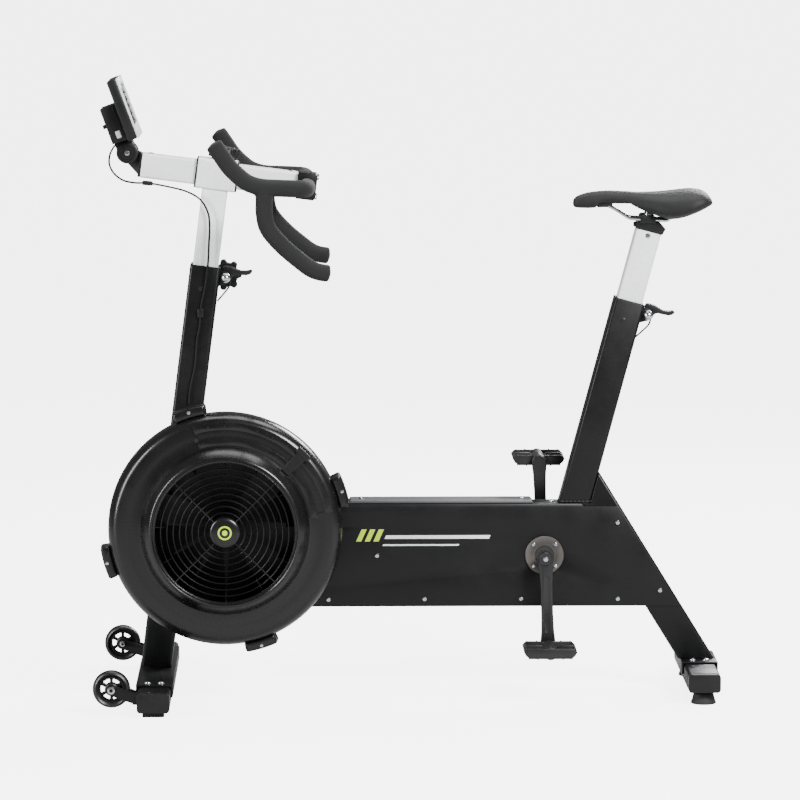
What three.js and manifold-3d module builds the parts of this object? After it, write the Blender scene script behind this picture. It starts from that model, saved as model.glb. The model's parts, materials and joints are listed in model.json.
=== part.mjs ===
// Air-resistance exercise bike, in millimetres.
// +X points to the rear (saddle), +Y to the rider's right, +Z up; the floor is z = 0.
import * as THREE from "three";
import { mergeVertices } from "three/addons/utils/BufferGeometryUtils.js";
import Module from "manifold-3d";

// ---- Driving dimensions ------------------------------------------------------------------------

const GAP = 0.3; // running or assembly gap between neighbouring pieces

const MAST = { size: 60, wall: 3, lean: 7.25, top: [-397, 846], foot: 56 };
const SEAT_MAST = { size: 60, wall: 3, lean: 15, top: [436, 776] };
const REAR_LEG = { size: 61, wall: 3, lean: 31.7, at: [506, 171.5] };
const POST = { size: 50, wall: 2.5, insertion: 270 };

const FRONT_FOOT = { x: -495, width: 63, half: 301, low: 9.5, high: 47 };
const REAR_FOOT = { x: 576, width: 63, half: 188, low: 25.5, high: 61.5 };
const CAP = 18; // length of a foot tube's plastic end cap outside the tube

const BEAM = { low: 173, high: 377, half: 30, wall: 4 };
const PANEL = { inner: 30.8, thick: 3 };

const FAN = { x: -358, z: 343, rim: 229, drum: 217, face: -188, back: -37, parting: -118 };
const GRILLE = { outer: 141.5, hub: 31, rings: 7, pitch: 15 };
const CRANK = { x: 269.6, z: 275, length: 172, tilt: 1.9, inner: 70, outer: 87 };
const PEDAL = { y: 140, width: 94, length: 104, thick: 20 };
const PULLEY = { crank: 85, jackSmall: 22, jackLarge: 70, fan: 22, belt: 3 };
const JACKSHAFT = { x: -80, z: 285 };
const BELT_ONE = [-21, -5]; // from the crank to the jackshaft
const BELT_TWO = [3, 19]; // from the jackshaft to the fan

const STEM = { size: 48, front: -521, rear: -217 };
const SLEEVE = { size: 60, length: 77 };
const GRIP = { radius: 17, side: 201 };
const MONITOR = { pivot: [-548.5, 1070], tilt: 20.2, width: 164, height: 122, thick: 18.7 };
const WHEEL = { x: -575.9, z: 51.5, y: 264, radius: 36.5, width: 24 };

const WALL = { dish: 3, drum: 3 };

const wasm = await Module();
wasm.setup();

// ---- Small mathematics ---------------------------------------------------------------------------

const radians = THREE.MathUtils.degToRad;
const V3 = (x, y, z) => new THREE.Vector3(x, y, z);

// The point at height z on a line in the XZ plane that leans rearwards by lean degrees.
const onLine = ([x, z0], lean, z) => x + (z - z0) * Math.tan(radians(lean));

// Coordinates in a frame turned by lean degrees in the XZ plane: along is rearwards, up is upwards.
function leaning(origin, lean) {
  const c = Math.cos(radians(lean));
  const s = Math.sin(radians(lean));
  return (along, up) => [origin[0] + along * c + up * s, origin[1] - along * s + up * c];
}

// ---- Solids --------------------------------------------------------------------------------------

// Turns a closed three.js geometry into a manifold solid with its faces outwards.
function solid(geometry, matrix) {
  const plain = geometry.index ? geometry.toNonIndexed() : geometry.clone();
  plain.deleteAttribute("normal");
  plain.deleteAttribute("uv");
  if (matrix) plain.applyMatrix4(matrix);
  const merged = mergeVertices(plain, 1e-4);
  const made = manifold(merged.attributes.position.array, merged.index.array);
  return made.volume() < 0
    ? manifold(merged.attributes.position.array, merged.index.array.toReversed())
    : made;
}

const manifold = (vertProperties, indices) =>
  new wasm.Manifold(new wasm.Mesh({ numProp: 3, vertProperties, triVerts: new Uint32Array(indices) }));

const joined = (...pieces) => pieces.flat().reduce((a, b) => a.add(b));
const without = (piece, ...cutters) => cutters.flat().reduce((a, b) => a.subtract(b), piece);

// An outline of [x, z] points in the XZ plane, given thickness from y0 to y1.
function plate(points, y0, y1, holes = [], curves = 8) {
  const outline = points instanceof THREE.Shape ? points : polygon(points);
  outline.holes.push(...holes);
  const geometry = new THREE.ExtrudeGeometry(outline, {
    depth: y1 - y0,
    bevelEnabled: false,
    curveSegments: curves,
  });
  geometry.rotateX(Math.PI / 2); // the outline's up becomes +Z and its depth runs towards -Y
  geometry.translate(0, y1, 0);
  return solid(geometry);
}

function polygon(points) {
  const shape = new THREE.Shape();
  const list = THREE.ShapeUtils.area(points.map(([x, z]) => new THREE.Vector2(x, z))) < 0
    ? [...points].reverse()
    : points;
  list.forEach(([x, z], i) => (i ? shape.lineTo(x, z) : shape.moveTo(x, z)));
  shape.closePath();
  return shape;
}

function circle(x, z, radius) {
  const shape = new THREE.Shape();
  shape.absarc(x, z, radius, 0, Math.PI * 2, false);
  return shape;
}

function roundedRectangle(width, height, radius, x = 0, z = 0) {
  const shape = new THREE.Shape();
  const w = width / 2 - radius;
  const h = height / 2 - radius;
  shape.absarc(x + w, z + h, radius, 0, Math.PI / 2, false);
  shape.absarc(x - w, z + h, radius, Math.PI / 2, Math.PI, false);
  shape.absarc(x - w, z - h, radius, Math.PI, Math.PI * 1.5, false);
  shape.absarc(x + w, z - h, radius, Math.PI * 1.5, Math.PI * 2, false);
  shape.closePath();
  return shape;
}

const box = (x0, x1, y0, y1, z0, z1) =>
  solid(
    new THREE.BoxGeometry(x1 - x0, y1 - y0, z1 - z0),
    new THREE.Matrix4().makeTranslation((x0 + x1) / 2, (y0 + y1) / 2, (z0 + z1) / 2),
  );

// A profile of [radius, y] points turned about a line along Y through [x, z].
function turned(profile, [x, z], sides = 32) {
  const closed = profile[0][0] === 0 && profile.at(-1)[0] === 0 ? profile : [...profile, profile[0]];
  const points = closed.map(([r, y]) => new THREE.Vector2(r, y));
  return solid(new THREE.LatheGeometry(points, sides), new THREE.Matrix4().makeTranslation(x, 0, z));
}

// A round bar along Y.
const roundBar = ([x, z], radius, y0, y1, sides = 24) =>
  turned([[0, y0], [radius, y0], [radius, y1], [0, y1]], [x, z], sides);

// A round bar from one point to another.
function rod(from, to, radius, sides = 16, radiusTo = radius) {
  const a = V3(...from);
  const b = V3(...to);
  const along = b.clone().sub(a);
  const geometry = new THREE.CylinderGeometry(radiusTo, radius, along.length(), sides);
  const turn = new THREE.Quaternion().setFromUnitVectors(V3(0, 1, 0), along.clone().normalize());
  return solid(geometry, new THREE.Matrix4().compose(a.add(b).multiplyScalar(0.5), turn, V3(1, 1, 1)));
}

// A tube of square section in the XZ plane, from one [x, z] point to another.
function squareBar([x0, z0], [x1, z1], size, corner, depth = size) {
  const length = Math.hypot(x1 - x0, z1 - z0);
  const section = roundedRectangle(size, depth, corner);
  const geometry = new THREE.ExtrudeGeometry(section, {
    depth: length,
    bevelEnabled: false,
    curveSegments: 2,
  });
  const axis = V3((x1 - x0) / length, 0, (z1 - z0) / length);
  const across = V3(0, 1, 0).cross(axis);
  const turn = new THREE.Matrix4().makeBasis(across, V3(0, 1, 0), axis);
  turn.setPosition(x0, 0, z0);
  return solid(geometry, turn);
}

function squareTube(from, to, size, wall, corner = 6, depth = size) {
  const dx = to[0] - from[0];
  const dz = to[1] - from[1];
  const reach = 10 / Math.hypot(dx, dz);
  const before = [from[0] - dx * reach, from[1] - dz * reach];
  const after = [to[0] + dx * reach, to[1] + dz * reach];
  return without(
    squareBar(from, to, size, corner, depth),
    squareBar(before, after, size - 2 * wall, Math.max(corner - wall, 1.5), depth - 2 * wall),
  );
}

// A round tube swept along a smooth curve through the points.
function swept(points, radius, steps, sides = 12, closed = false) {
  const section = new THREE.Shape();
  for (let i = 0; i < sides; i++) {
    const angle = (i / sides) * Math.PI * 2;
    const x = radius * Math.cos(angle);
    const y = radius * Math.sin(angle);
    if (i) section.lineTo(x, y);
    else section.moveTo(x, y);
  }
  section.closePath();
  const curve = new THREE.CatmullRomCurve3(points.map((p) => V3(...p)), closed, "centripetal");
  return solid(
    new THREE.ExtrudeGeometry(section, { steps, bevelEnabled: false, extrudePath: curve }),
  );
}

const ball = ([x, y, z], radius, sides = 16) =>
  solid(new THREE.SphereGeometry(radius, sides, sides / 2), new THREE.Matrix4().makeTranslation(x, y, z));

const mirrored = (piece) => piece.mirror([0, 1, 0]);

// ---- Materials -----------------------------------------------------------------------------------

const finish = (color, roughness, metalness) =>
  new THREE.MeshStandardMaterial({ color, roughness, metalness });

const FINISH = {
  blackPaint: () => finish("#1b1b1c", 0.45, 0.3),
  silverPaint: () => finish("#dedfe0", 0.4, 0.3),
  blackPlastic: () => finish("#19191a", 0.4, 0),
  greyPlastic: () => finish("#4a4a4b", 0.5, 0),
  paleGrey: () => finish("#c9cacb", 0.45, 0),
  steel: () => finish("#a9aaab", 0.3, 1),
  plate: () => finish("#5c5a58", 0.4, 0.9),
  aluminium: () => finish("#b4b5b7", 0.35, 1),
  rubber: () => finish("#161616", 0.85, 0),
  foam: () => finish("#2b2b2c", 0.9, 0),
  vinyl: () => finish("#2a2a2b", 0.6, 0),
  belt: () => finish("#141414", 0.8, 0),
};

const bike = new THREE.Group();

function add(name, piece, material) {
  const mesh = piece.getMesh();
  const geometry = new THREE.BufferGeometry();
  const positions = new Float32Array(mesh.numVert * 3);
  for (let i = 0; i < mesh.numVert; i++)
    positions.set(mesh.vertProperties.subarray(i * mesh.numProp, i * mesh.numProp + 3), i * 3);
  geometry.setAttribute("position", new THREE.BufferAttribute(positions, 3));
  geometry.setIndex(new THREE.BufferAttribute(mesh.triVerts, 1));
  geometry.computeVertexNormals();
  const made = new THREE.Mesh(geometry, material);
  made.name = name;
  bike.add(made);
}

// ---- Frame: masts, leg, feet ---------------------------------------------------------------------

const mastX = (z) => onLine(MAST.top, MAST.lean, z);
const seatMastX = (z) => onLine(SEAT_MAST.top, SEAT_MAST.lean, z);
const legX = (z) => onLine(REAR_LEG.at, -REAR_LEG.lean, z);
const mastFace = MAST.size / 2 / Math.cos(radians(MAST.lean));
const seatMastFace = SEAT_MAST.size / 2 / Math.cos(radians(SEAT_MAST.lean));
const legFace = REAR_LEG.size / 2 / Math.cos(radians(REAR_LEG.lean));

function makeFrontMast() {
  const top = leaning(MAST.top, MAST.lean);
  const tube = squareTube([mastX(0), 0], top(0, 0), MAST.size, MAST.wall);
  const trimmed = tube.trimByPlane([0, 0, 1], MAST.foot);
  add("front_mast", joined(trimmed, clampEars(top, MAST.size / 2)), FINISH.blackPaint());
}

// The two ears behind a mast's mouth that hold a latch pin, in the mast's own frame.
function clampEars(place, face) {
  const bore = roundBar(place(face + 12, -16), 4.6, -25, 25, 12);
  const ear = (y0, y1) => without(
    plate([place(face - 1, -3), place(face + 20, -8), place(face + 20, -24), place(face - 1, -36)], y0, y1),
    bore,
  );
  return [ear(-19, -15), ear(15, 19)];
}

function makeSeatMast() {
  const top = leaning(SEAT_MAST.top, SEAT_MAST.lean);
  const tube = squareTube([seatMastX(300), 300], top(0, 0), SEAT_MAST.size, SEAT_MAST.wall);
  const trimmed = tube.trimByPlane([0, 0, 1], BEAM.high + GAP);
  add("seat_mast", joined(trimmed, clampEars(top, SEAT_MAST.size / 2)), FINISH.blackPaint());
}

function makeRearLeg() {
  const foot = REAR_FOOT.high + 4 + GAP;
  const tube = squareTube([legX(0), 0], [legX(520), 520], REAR_LEG.size, REAR_LEG.wall);
  const lean = radians(SEAT_MAST.lean);
  const normal = [Math.cos(lean), 0, -Math.sin(lean)];
  const face = seatMastX(500) + seatMastFace + GAP;
  const rearOfMast = tube
    .trimByPlane([0, 0, 1], foot)
    .trimByPlane(normal, normal[0] * face + normal[2] * 500);
  const underMast = box(200, seatMastX(BEAM.high) + seatMastFace + 40, -40, 40, foot, BEAM.high);
  const lower = tube.trimByPlane([0, 0, 1], foot).intersect(underMast);
  add("rear_leg", joined(rearOfMast, lower), FINISH.blackPaint());
}

function makeFoot(prefix, foot, extras) {
  const inside = foot.half - CAP;
  const centre = (foot.low + foot.high) / 2;
  const height = foot.high - foot.low;
  const outer = roundedRectangle(foot.width, height, 6, foot.x, centre);
  const inner = roundedRectangle(foot.width - 6, height - 6, 3, foot.x, centre);
  const tube = plate(outer, -inside, inside, [inner], 2);
  add(prefix + "_foot_tube", extras(tube), FINISH.blackPaint());
  for (const [side, sign] of [["left", -1], ["right", 1]]) {
    const face = roundedRectangle(foot.width, height, 7, foot.x, centre);
    const plug = roundedRectangle(foot.width - 7, height - 7, 2.5, foot.x, centre);
    const cap = joined(
      plate(face, inside + GAP, foot.half, [], 3),
      plate(plug, inside - 8, inside + 1, [], 1),
    );
    add(`${prefix}_foot_cap_${side}`, sign < 0 ? mirrored(cap) : cap, FINISH.blackPlastic());
  }
}

// Two fork plates and an axle for one transport wheel, welded to the front foot tube.
function wheelFork(sign) {
  const y = sign * WHEEL.y;
  const side = WHEEL.width / 2 + 1.5;
  const hub = [WHEEL.x, WHEEL.z];
  const root = FRONT_FOOT.x - FRONT_FOOT.width / 2 + 1;
  const cheek = (at) =>
    joined(
      plate([[WHEEL.x, WHEEL.z + 11], [root, 44], [root, 22], [WHEEL.x, WHEEL.z - 11]], at, at + 4),
      roundBar(hub, 11, at, at + 4, 12),
    );
  const axle = roundBar(hub, 4, y - side - 7, y + side + 7, 10);
  const web = box(root - 9, root + 1, y - side - 4, y + side + 4, 23, 43);
  return joined(cheek(y - side - 4), cheek(y + side), axle, web);
}

function makeFeet() {
  makeFoot("front", FRONT_FOOT, (tube) => joined(tube, wheelFork(-1), wheelFork(1)));
  makeFoot("rear", REAR_FOOT, (tube) =>
    without(tube, [-1, 1].map((sign) =>
      rod([REAR_FOOT.x, sign * 155, 10], [REAR_FOOT.x, sign * 155, 32], 7))),
  );
  for (const [side, sign] of [["left", -1], ["right", 1]]) {
    const pad = box(FRONT_FOOT.x - 21, FRONT_FOOT.x + 21, 258, 290, 0, FRONT_FOOT.low - GAP);
    add(`front_pad_${side}`, sign < 0 ? mirrored(pad) : pad, FINISH.rubber());
    makeLevellingFoot(side, sign * 155);
    makeWheel(side, sign * WHEEL.y);
  }
}

function makeLevellingFoot(side, y) {
  const profile = [[0, 0], [25, 0], [25, 3], [19.5, 20.5], [6, 20.5], [6, 52], [0, 52]];
  const foot = new THREE.LatheGeometry(profile.map(([r, z]) => new THREE.Vector2(r, z)), 18);
  foot.rotateX(Math.PI / 2);
  foot.translate(REAR_FOOT.x, y, 0);
  add(`levelling_foot_${side}`, solid(foot), FINISH.rubber());
}

function makeWheel(side, y) {
  const half = WHEEL.width / 2;
  const r = WHEEL.radius;
  const profile = [
    [4.6, y - half], [11, y - half], [14, y - 6], [24, y - 6], [27, y - half], [r - 3, y - half],
    [r, y], [r - 3, y + half], [27, y + half], [24, y + 6], [14, y + 6], [11, y + half],
    [4.6, y + half],
  ];
  add(`transport_wheel_${side}`, turned(profile, [WHEEL.x, WHEEL.z], 18), FINISH.rubber());
}

// A folded steel channel that ties an upright's foot to its foot tube.
function makeBracket(name, foot, half, plateThick = 4) {
  const reach = foot.width / 2 + GAP;
  const low = foot.high - 20;
  const top = foot.high + GAP;
  const outline = [
    [foot.x - reach - 4, low], [foot.x - reach - 4, top + plateThick],
    [foot.x + reach + 4, top + plateThick], [foot.x + reach + 4, low],
    [foot.x + reach, low], [foot.x + reach, top],
    [foot.x - reach, top], [foot.x - reach, low],
  ];
  const bolt = (x, y) => rod([x, y, top + 1], [x, y, top + plateThick + 3.5], 6, 8, 4);
  const rows = [-half + 14, half - 14];
  const bolts = rows.flatMap((y) => [bolt(foot.x - 13, y), bolt(foot.x + 13, y)]);
  add(name, joined(plate(outline, -half, half), bolts), FINISH.blackPaint());
}

// ---- Beam and its covers -------------------------------------------------------------------------

function makeBeam() {
  const { low, high, half, wall } = BEAM;
  const front = (z) => mastX(z) + mastFace + GAP;
  const rear = (z) => legX(z) - legFace - GAP;
  const outline = [[front(low), low], [rear(low), low], [rear(high), high], [front(high), high]];
  const hole = [
    [front(low + wall) + wall, low + wall], [rear(low + wall) - wall, low + wall],
    [rear(high - wall) - wall, high - wall], [front(high - wall) + wall, high - wall],
  ];
  const ring = plate(outline, -half, half, [new THREE.Path(polygon(hole).getPoints())]);
  add("main_beam", ring, FINISH.blackPaint());
}

function panelOutline() {
  const inset = 4;
  const front = (z) => mastX(z) - mastFace + inset;
  const rear = (z) => legX(z) + legFace - inset;
  const { low, high } = BEAM;
  return [
    [front(low), low], [rear(low), low], [rear(high - 5.5), high - 5.5],
    [347.5, high - 5.5], [342, high], [front(high), high],
  ];
}

function makePanels() {
  const { inner, thick } = PANEL;
  const boss = (at, outer, bore, y0, y1) =>
    turned([[bore, y0], [outer, y0], [outer, y1], [bore, y1]], at, 14);
  for (const [side, sign] of [["left", -1], ["right", 1]]) {
    const crankHole = circle(CRANK.x, CRANK.z, 27);
    const fanHole = side === "left" ? [circle(FAN.x, FAN.z, 9)] : [];
    const sheet = plate(panelOutline(), inner, inner + thick, [crankHole, ...fanHole], 14);
    const jackBoss = boss([JACKSHAFT.x, JACKSHAFT.z], 17, 8.6, inner - 7, inner + 1);
    const fanBoss = boss([FAN.x, FAN.z], 17, 9, inner - 7, inner + 1);
    const panel = joined(sheet, jackBoss, fanBoss);
    add(`${side}_side_panel`, sign < 0 ? mirrored(panel) : panel, FINISH.blackPaint());
  }
}

function makeTopCover() {
  const { high } = BEAM;
  const lid = plate(
    [[-118, high + GAP], [248, high + GAP], [243, high + 7], [-113, high + 7]], -29, 29);
  add("top_cover", lid, FINISH.greyPlastic());
}

// ---- Fan -----------------------------------------------------------------------------------------

const fanAt = [FAN.x, FAN.z];

// An annular sector about the fan's axis, between two angles in degrees above the rearward direction.
function sector(r0, r1, from, to, y0, y1, steps = 12) {
  const arc = (r, a, b) =>
    Array.from({ length: steps + 1 }, (_, i) => {
      const angle = radians(a + ((b - a) * i) / steps);
      return [FAN.x + r * Math.cos(angle), FAN.z + r * Math.sin(angle)];
    });
  return plate([...arc(r1, from, to), ...arc(r0, to, from)], y0, y1);
}

function makeFanFront() {
  const { rim, face } = FAN;
  const { outer } = GRILLE;
  const t = WALL.dish;
  const dish = turned([
    [rim - 1, FAN.parting - GAP], [rim - 1, -130], [rim - 4, -146], [rim - 14, -156], [rim - 22, -158],
    [165, -158], [outer + 5, face], [outer, face], [outer, face + 12], [outer + t, face + 12],
    [outer + t, face + 8], [165 - t, -158 + t], [rim - 18, -158 + t],
    [rim - 7, -145], [rim - 4, -130], [rim - 4, FAN.parting - GAP],
  ], fanAt, 36);
  const slot = sector(184, 196, 22, 104, -170, -150);
  add("fan_housing_front", without(dish, slot), FINISH.blackPlastic());
}

function makeGrille() {
  const { outer, hub, rings, pitch } = GRILLE;
  const face = FAN.face + 2;
  const ring = (radius) =>
    turned([[radius - 1.6, face + 1], [radius + 0.6, face], [radius + 1.4, face + 8]], fanAt, 20);
  const slats = Array.from({ length: rings }, (_, i) => ring(hub + 8 + i * pitch));
  const rimRing = turned(
    [[outer - 4, face], [outer - 1, face], [outer - 1, face + 9], [outer - 4, face + 9]],
    fanAt, 32);
  const cap = turned([
    [0, face - 4], [hub - 10, face - 3], [hub - 1, face], [hub, face + 9], [0, face + 9],
  ], fanAt, 20);
  const spokes = [45, 135].map((angle) => {
    const c = Math.cos(radians(angle)) * (outer - 1.5);
    const s = Math.sin(radians(angle)) * (outer - 1.5);
    const geometry = new THREE.BoxGeometry(2 * (outer - 1.5), 9, 2.4);
    geometry.rotateY(-Math.atan2(s, c));
    geometry.translate(FAN.x, face + 4.5, FAN.z);
    return solid(geometry);
  });
  add("fan_grille", joined(cap, rimRing, slats, spokes), FINISH.blackPlastic());
}

function makeFanRear() {
  const { rim, drum, back, parting } = FAN;
  const t = WALL.drum;
  const shell = turned([
    [30, back - t], [drum - t, back - t], [drum - t, parting + 6], [drum - 2 * t, parting + 6],
    [drum - 2 * t, parting], [rim, parting], [rim, parting + 6], [drum, parting + 6],
    [drum, back], [30, back],
  ], fanAt, 36);
  const lug = (angle) => {
    const body = joined(
      sector(rim - 6, 248, angle - 8, angle + 8, parting + 0.5, parting + 26, 3),
      sector(rim + GAP, 248, angle - 8, angle + 8, parting - 22, parting + 8, 3),
    );
    const place = [FAN.x + 240 * Math.cos(radians(angle)), FAN.z + 240 * Math.sin(radians(angle))];
    return joined(body, roundBar(place, 4.5, parting - 24, parting - 21, 8));
  };
  add("fan_housing_rear", joined(shell, [18, 107, 196, 287].map(lug)), FINISH.blackPlastic());
}

function makeDamper() {
  const handle = joined(
    sector(167, 222, 41.5, 47.5, -166, -158 - GAP, 3),
    sector(186, 194, 42, 47, -160, -149, 2),
    sector(168, 210, 30, 59, -152, -149, 6),
  );
  add("damper", handle, FINISH.blackPlastic());
}

function makeFlywheel() {
  const near = -112;
  const far = -56;
  const disc = turned([
    [9 + GAP, near + 6], [26, near + 6], [26, far - 6], [204, far - 3], [204, far], [9 + GAP, far],
  ], fanAt, 24);
  const blades = Array.from({ length: 12 }, (_, i) => {
    const geometry = new THREE.BoxGeometry(84, far - near - 4, 2);
    geometry.translate(160, (near + far) / 2 - 2, 0);
    geometry.rotateY((i / 12) * Math.PI * 2);
    geometry.translate(FAN.x, 0, FAN.z);
    return solid(geometry);
  });
  const band = turned([[201, near - 1], [204, near - 1], [204, near + 3], [201, near + 3]], fanAt, 24);
  add("flywheel", joined(disc, blades, band), FINISH.aluminium());
}

// ---- Drive train ---------------------------------------------------------------------------------

function makeShafts() {
  const inside = PANEL.inner - 1;
  const grooved = (radius, [y0, y1]) => [
    [radius + 2.5, y0 - 1.5], [radius + 2.5, y0], [radius, y0], [radius, y1], [radius + 2.5, y1],
    [radius + 2.5, y1 + 1.5],
  ];
  const fanShaft = turned([
    [0, -120], [8.5, -120], ...stepped(8.5, grooved(PULLEY.fan, BELT_TWO)),
    [8.5, inside - 1], [0, inside - 1],
  ], fanAt, 18);
  add("flywheel_shaft", fanShaft, FINISH.steel());
  const jackshaft = turned([
    [0, -inside], [8, -inside], ...stepped(8, grooved(PULLEY.jackSmall, BELT_ONE)),
    ...stepped(12, grooved(PULLEY.jackLarge, BELT_TWO)), [8, 20.5], [8, inside], [0, inside],
  ], [JACKSHAFT.x, JACKSHAFT.z], 20);
  add("jackshaft", jackshaft, FINISH.aluminium());
  const reach = CRANK.inner - GAP;
  const spindle = turned([
    [0, -reach], [10, -reach], [10, -24], ...stepped(14, grooved(PULLEY.crank, BELT_ONE)),
    [14, 24], [10, 24], [10, reach], [0, reach],
  ], [CRANK.x, CRANK.z], 24);
  add("crank_spindle", spindle, FINISH.steel());
}

// A pulley's outline between two steps down to its shaft.
const stepped = (shaft, outline) => [
  [shaft, outline[0][1]], ...outline, [shaft, outline.at(-1)[1]],
];

// A belt round two pulleys: the stadium outline of the larger and smaller circle.
function makeBelt(name, a, ra, b, rb, [y0, y1]) {
  const loop = (grow) => {
    const dx = b[0] - a[0];
    const dz = b[1] - a[1];
    const heading = Math.atan2(dz, dx);
    const spread = Math.acos((ra - rb) / Math.hypot(dx, dz));
    const arc = ([x, z], r, from, to, steps) =>
      Array.from({ length: steps + 1 }, (_, i) => {
        const angle = from + ((to - from) * i) / steps;
        return [x + r * Math.cos(angle), z + r * Math.sin(angle)];
      });
    return [
      ...arc(a, ra + grow, heading + spread, heading + 2 * Math.PI - spread, 30),
      ...arc(b, rb + grow, heading - spread, heading + spread, 14),
    ];
  };
  const hole = new THREE.Path(polygon(loop(0.6)).getPoints());
  add(name, plate(loop(0.6 + PULLEY.belt - 1), y0 + GAP, y1 - GAP, [hole]), FINISH.belt());
}

function makeBelts() {
  const crank = [CRANK.x, CRANK.z];
  const jack = [JACKSHAFT.x, JACKSHAFT.z];
  makeBelt("primary_belt", crank, PULLEY.crank, jack, PULLEY.jackSmall, BELT_ONE);
  makeBelt("secondary_belt", jack, PULLEY.jackLarge, fanAt, PULLEY.fan, BELT_TWO);
}

function makeBearingPlates() {
  const face = PANEL.inner + PANEL.thick + GAP;
  const at = [CRANK.x, CRANK.z];
  const disc = turned([
    [11, face - 8], [26, face - 8], [26, face], [38, face], [38, face + 3], [11, face + 3],
  ], at, 28);
  for (const [side, sign] of [["left", -1], ["right", 1]]) {
    add(`${side}_bearing_plate`, sign < 0 ? mirrored(disc) : disc, FINISH.plate());
  }
}

// The left crank points down and the right one up, both on one line through the crank's axis.
function crankEnd(sign) {
  const angle = radians(CRANK.tilt);
  const reach = sign < 0 ? -CRANK.length : CRANK.length;
  return [CRANK.x - reach * Math.sin(angle), CRANK.z + reach * Math.cos(angle)];
}

function makeCrankArm(side, sign) {
  const { inner, outer, x, z } = CRANK;
  const [ex, ez] = crankEnd(sign);
  const place = leaning([x, z], sign < 0 ? 180 - CRANK.tilt : -CRANK.tilt);
  const blade = plate([
    place(-14, 0), place(-14.5, 18), place(-12.3, 40), place(-11.8, 110), place(-14, 160),
    place(-14, 172), place(14, 172), place(14, 160), place(11.8, 110), place(12.3, 40),
    place(14.5, 18), place(14, 0),
  ], inner + 2, outer);
  const arm = joined(
    blade,
    roundBar([x, z], 17, inner, outer - 4, 16),
    roundBar([x, z], 13.5, inner + 4, outer + 3, 16),
    roundBar([ex, ez], 15, inner + 2, outer, 16),
    roundBar([ex, ez], 10, outer - 1, outer + 4, 12),
    roundBar([ex, ez], 6.5, outer - 1, PEDAL.y + PEDAL.width / 2 - 6, 16),
  );
  add(`${side}_crank_arm`, sign < 0 ? mirrored(arm) : arm, FINISH.blackPaint());
}

function makePedal(side, sign) {
  const [x, z] = crankEnd(sign);
  const half = PEDAL.length / 2;
  const y0 = PEDAL.y - PEDAL.width / 2;
  const y1 = PEDAL.y + PEDAL.width / 2;
  const rise = PEDAL.thick / 2;
  const outline = [
    [x - half, z + 3], [x - half + 7, z + rise], [x + half - 7, z + rise], [x + half, z + 3],
    [x + half - 4, z - 4], [x + half - 12, z - rise], [x - half + 12, z - rise], [x - half + 4, z - 4],
  ];
  const windows = [[-46, -15], [15, 46]].flatMap(([a, b]) =>
    [[-39, -4], [4, 39]].map(([c, d]) =>
      box(x + a, x + b, PEDAL.y + c, PEDAL.y + d, z - 20, z + 20)));
  const middle = box(x - 15, x + 15, PEDAL.y - 39, PEDAL.y + 39, z - 20, z + 20);
  const cage = without(plate(outline, y0, y1), windows, middle);
  const barrel = roundBar([x, z], 12.5, y0 + 1, y1 - 1, 16);
  const ribs = box(x - 46, x + 46, PEDAL.y - 4, PEDAL.y + 4, z - 7, z + 7);
  const bore = roundBar([x, z], 7, y0 - 5, y1 - 4, 16);
  const mouth = roundBar([x, z], 11, y0 - 5, y0 + 1.5, 12);
  const pedal = without(joined(cage, barrel, ribs), bore, mouth);
  add(`${side}_pedal`, sign < 0 ? mirrored(pedal) : pedal, FINISH.blackPlastic());
}

// ---- Saddle --------------------------------------------------------------------------------------

const seatTop = leaning(SEAT_MAST.top, SEAT_MAST.lean);
const SEAT_EXPOSED = 143;
const RAIL = { y: 22, radius: 3.5, front: [438, 939.5], rear: [506, 936] };
const railZ = (x) =>
  RAIL.front[1] + ((x - RAIL.front[0]) * (RAIL.rear[1] - RAIL.front[1])) / (RAIL.rear[0] - RAIL.front[0]);

function makeSeatPost() {
  const tube = squareTube(seatTop(0, -POST.insertion), seatTop(0, SEAT_EXPOSED), POST.size, POST.wall, 5);
  add("seat_post", tube, FINISH.silverPaint());
}

function makeSaddleHead() {
  const casting = plate([
    seatTop(-26, SEAT_EXPOSED + GAP), seatTop(-27, SEAT_EXPOSED + 9), [449, 931], [458, 934], [484, 932.5],
    [496.5, 930], [506, 919], seatTop(27, SEAT_EXPOSED + GAP),
  ], -26, 26);
  const tab = plate([[444, 922.5], [444, 931], [451, 932], [451, 922.5]], -6, 6);
  const clamp = plate([[456, 931], [456, 945], [460, 948], [481, 947], [486, 943], [486, 931]], -30, 30);
  const nut = rod([470.8, 0, 946], [470.8, 0, 953], 7, 16, 4.5);
  const grooves = [-1, 1].map((sign) =>
    rod([440, sign * RAIL.y, railZ(440)], [504, sign * RAIL.y, railZ(504)], RAIL.radius + 1.1, 16));
  add("saddle_head", without(joined(casting, tab, clamp, nut), grooves), FINISH.blackPaint());
}

function makeRails() {
  const side = (sign) => [
    [517, sign * 24, 943], [512, sign * 23, 938], [506, sign * 22, RAIL.rear[1]],
    [472, sign * 22, railZ(472)], [438, sign * 22, RAIL.front[1]], [432, sign * 21.5, 941],
    [415, sign * 18, 952], [398, sign * 14, 962], [385, sign * 9, 966],
  ];
  const route = [...side(-1), [380, 0, 967], ...side(1).reverse()];
  add("saddle_rails", swept(route, RAIL.radius, 30, 6), FINISH.steel());
}

// Saddle cross-sections from nose to tail: [x, half width, crown height, underside height].
const SADDLE_SECTIONS = [
  [324, 9, 975, 962], [329, 15, 981, 960], [341, 19.5, 986.5, 959], [361, 22, 991, 959],
  [391, 24, 992.5, 962], [425, 29, 991, 961], [452, 38, 990, 955], [476, 51, 990, 948],
  [498, 63, 991, 941], [520, 71, 993, 938], [543, 76, 995.5, 942], [562, 77, 996.5, 949],
  [580, 71, 994, 958], [592, 56, 983, 965], [598, 40, 974, 967],
];

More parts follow.
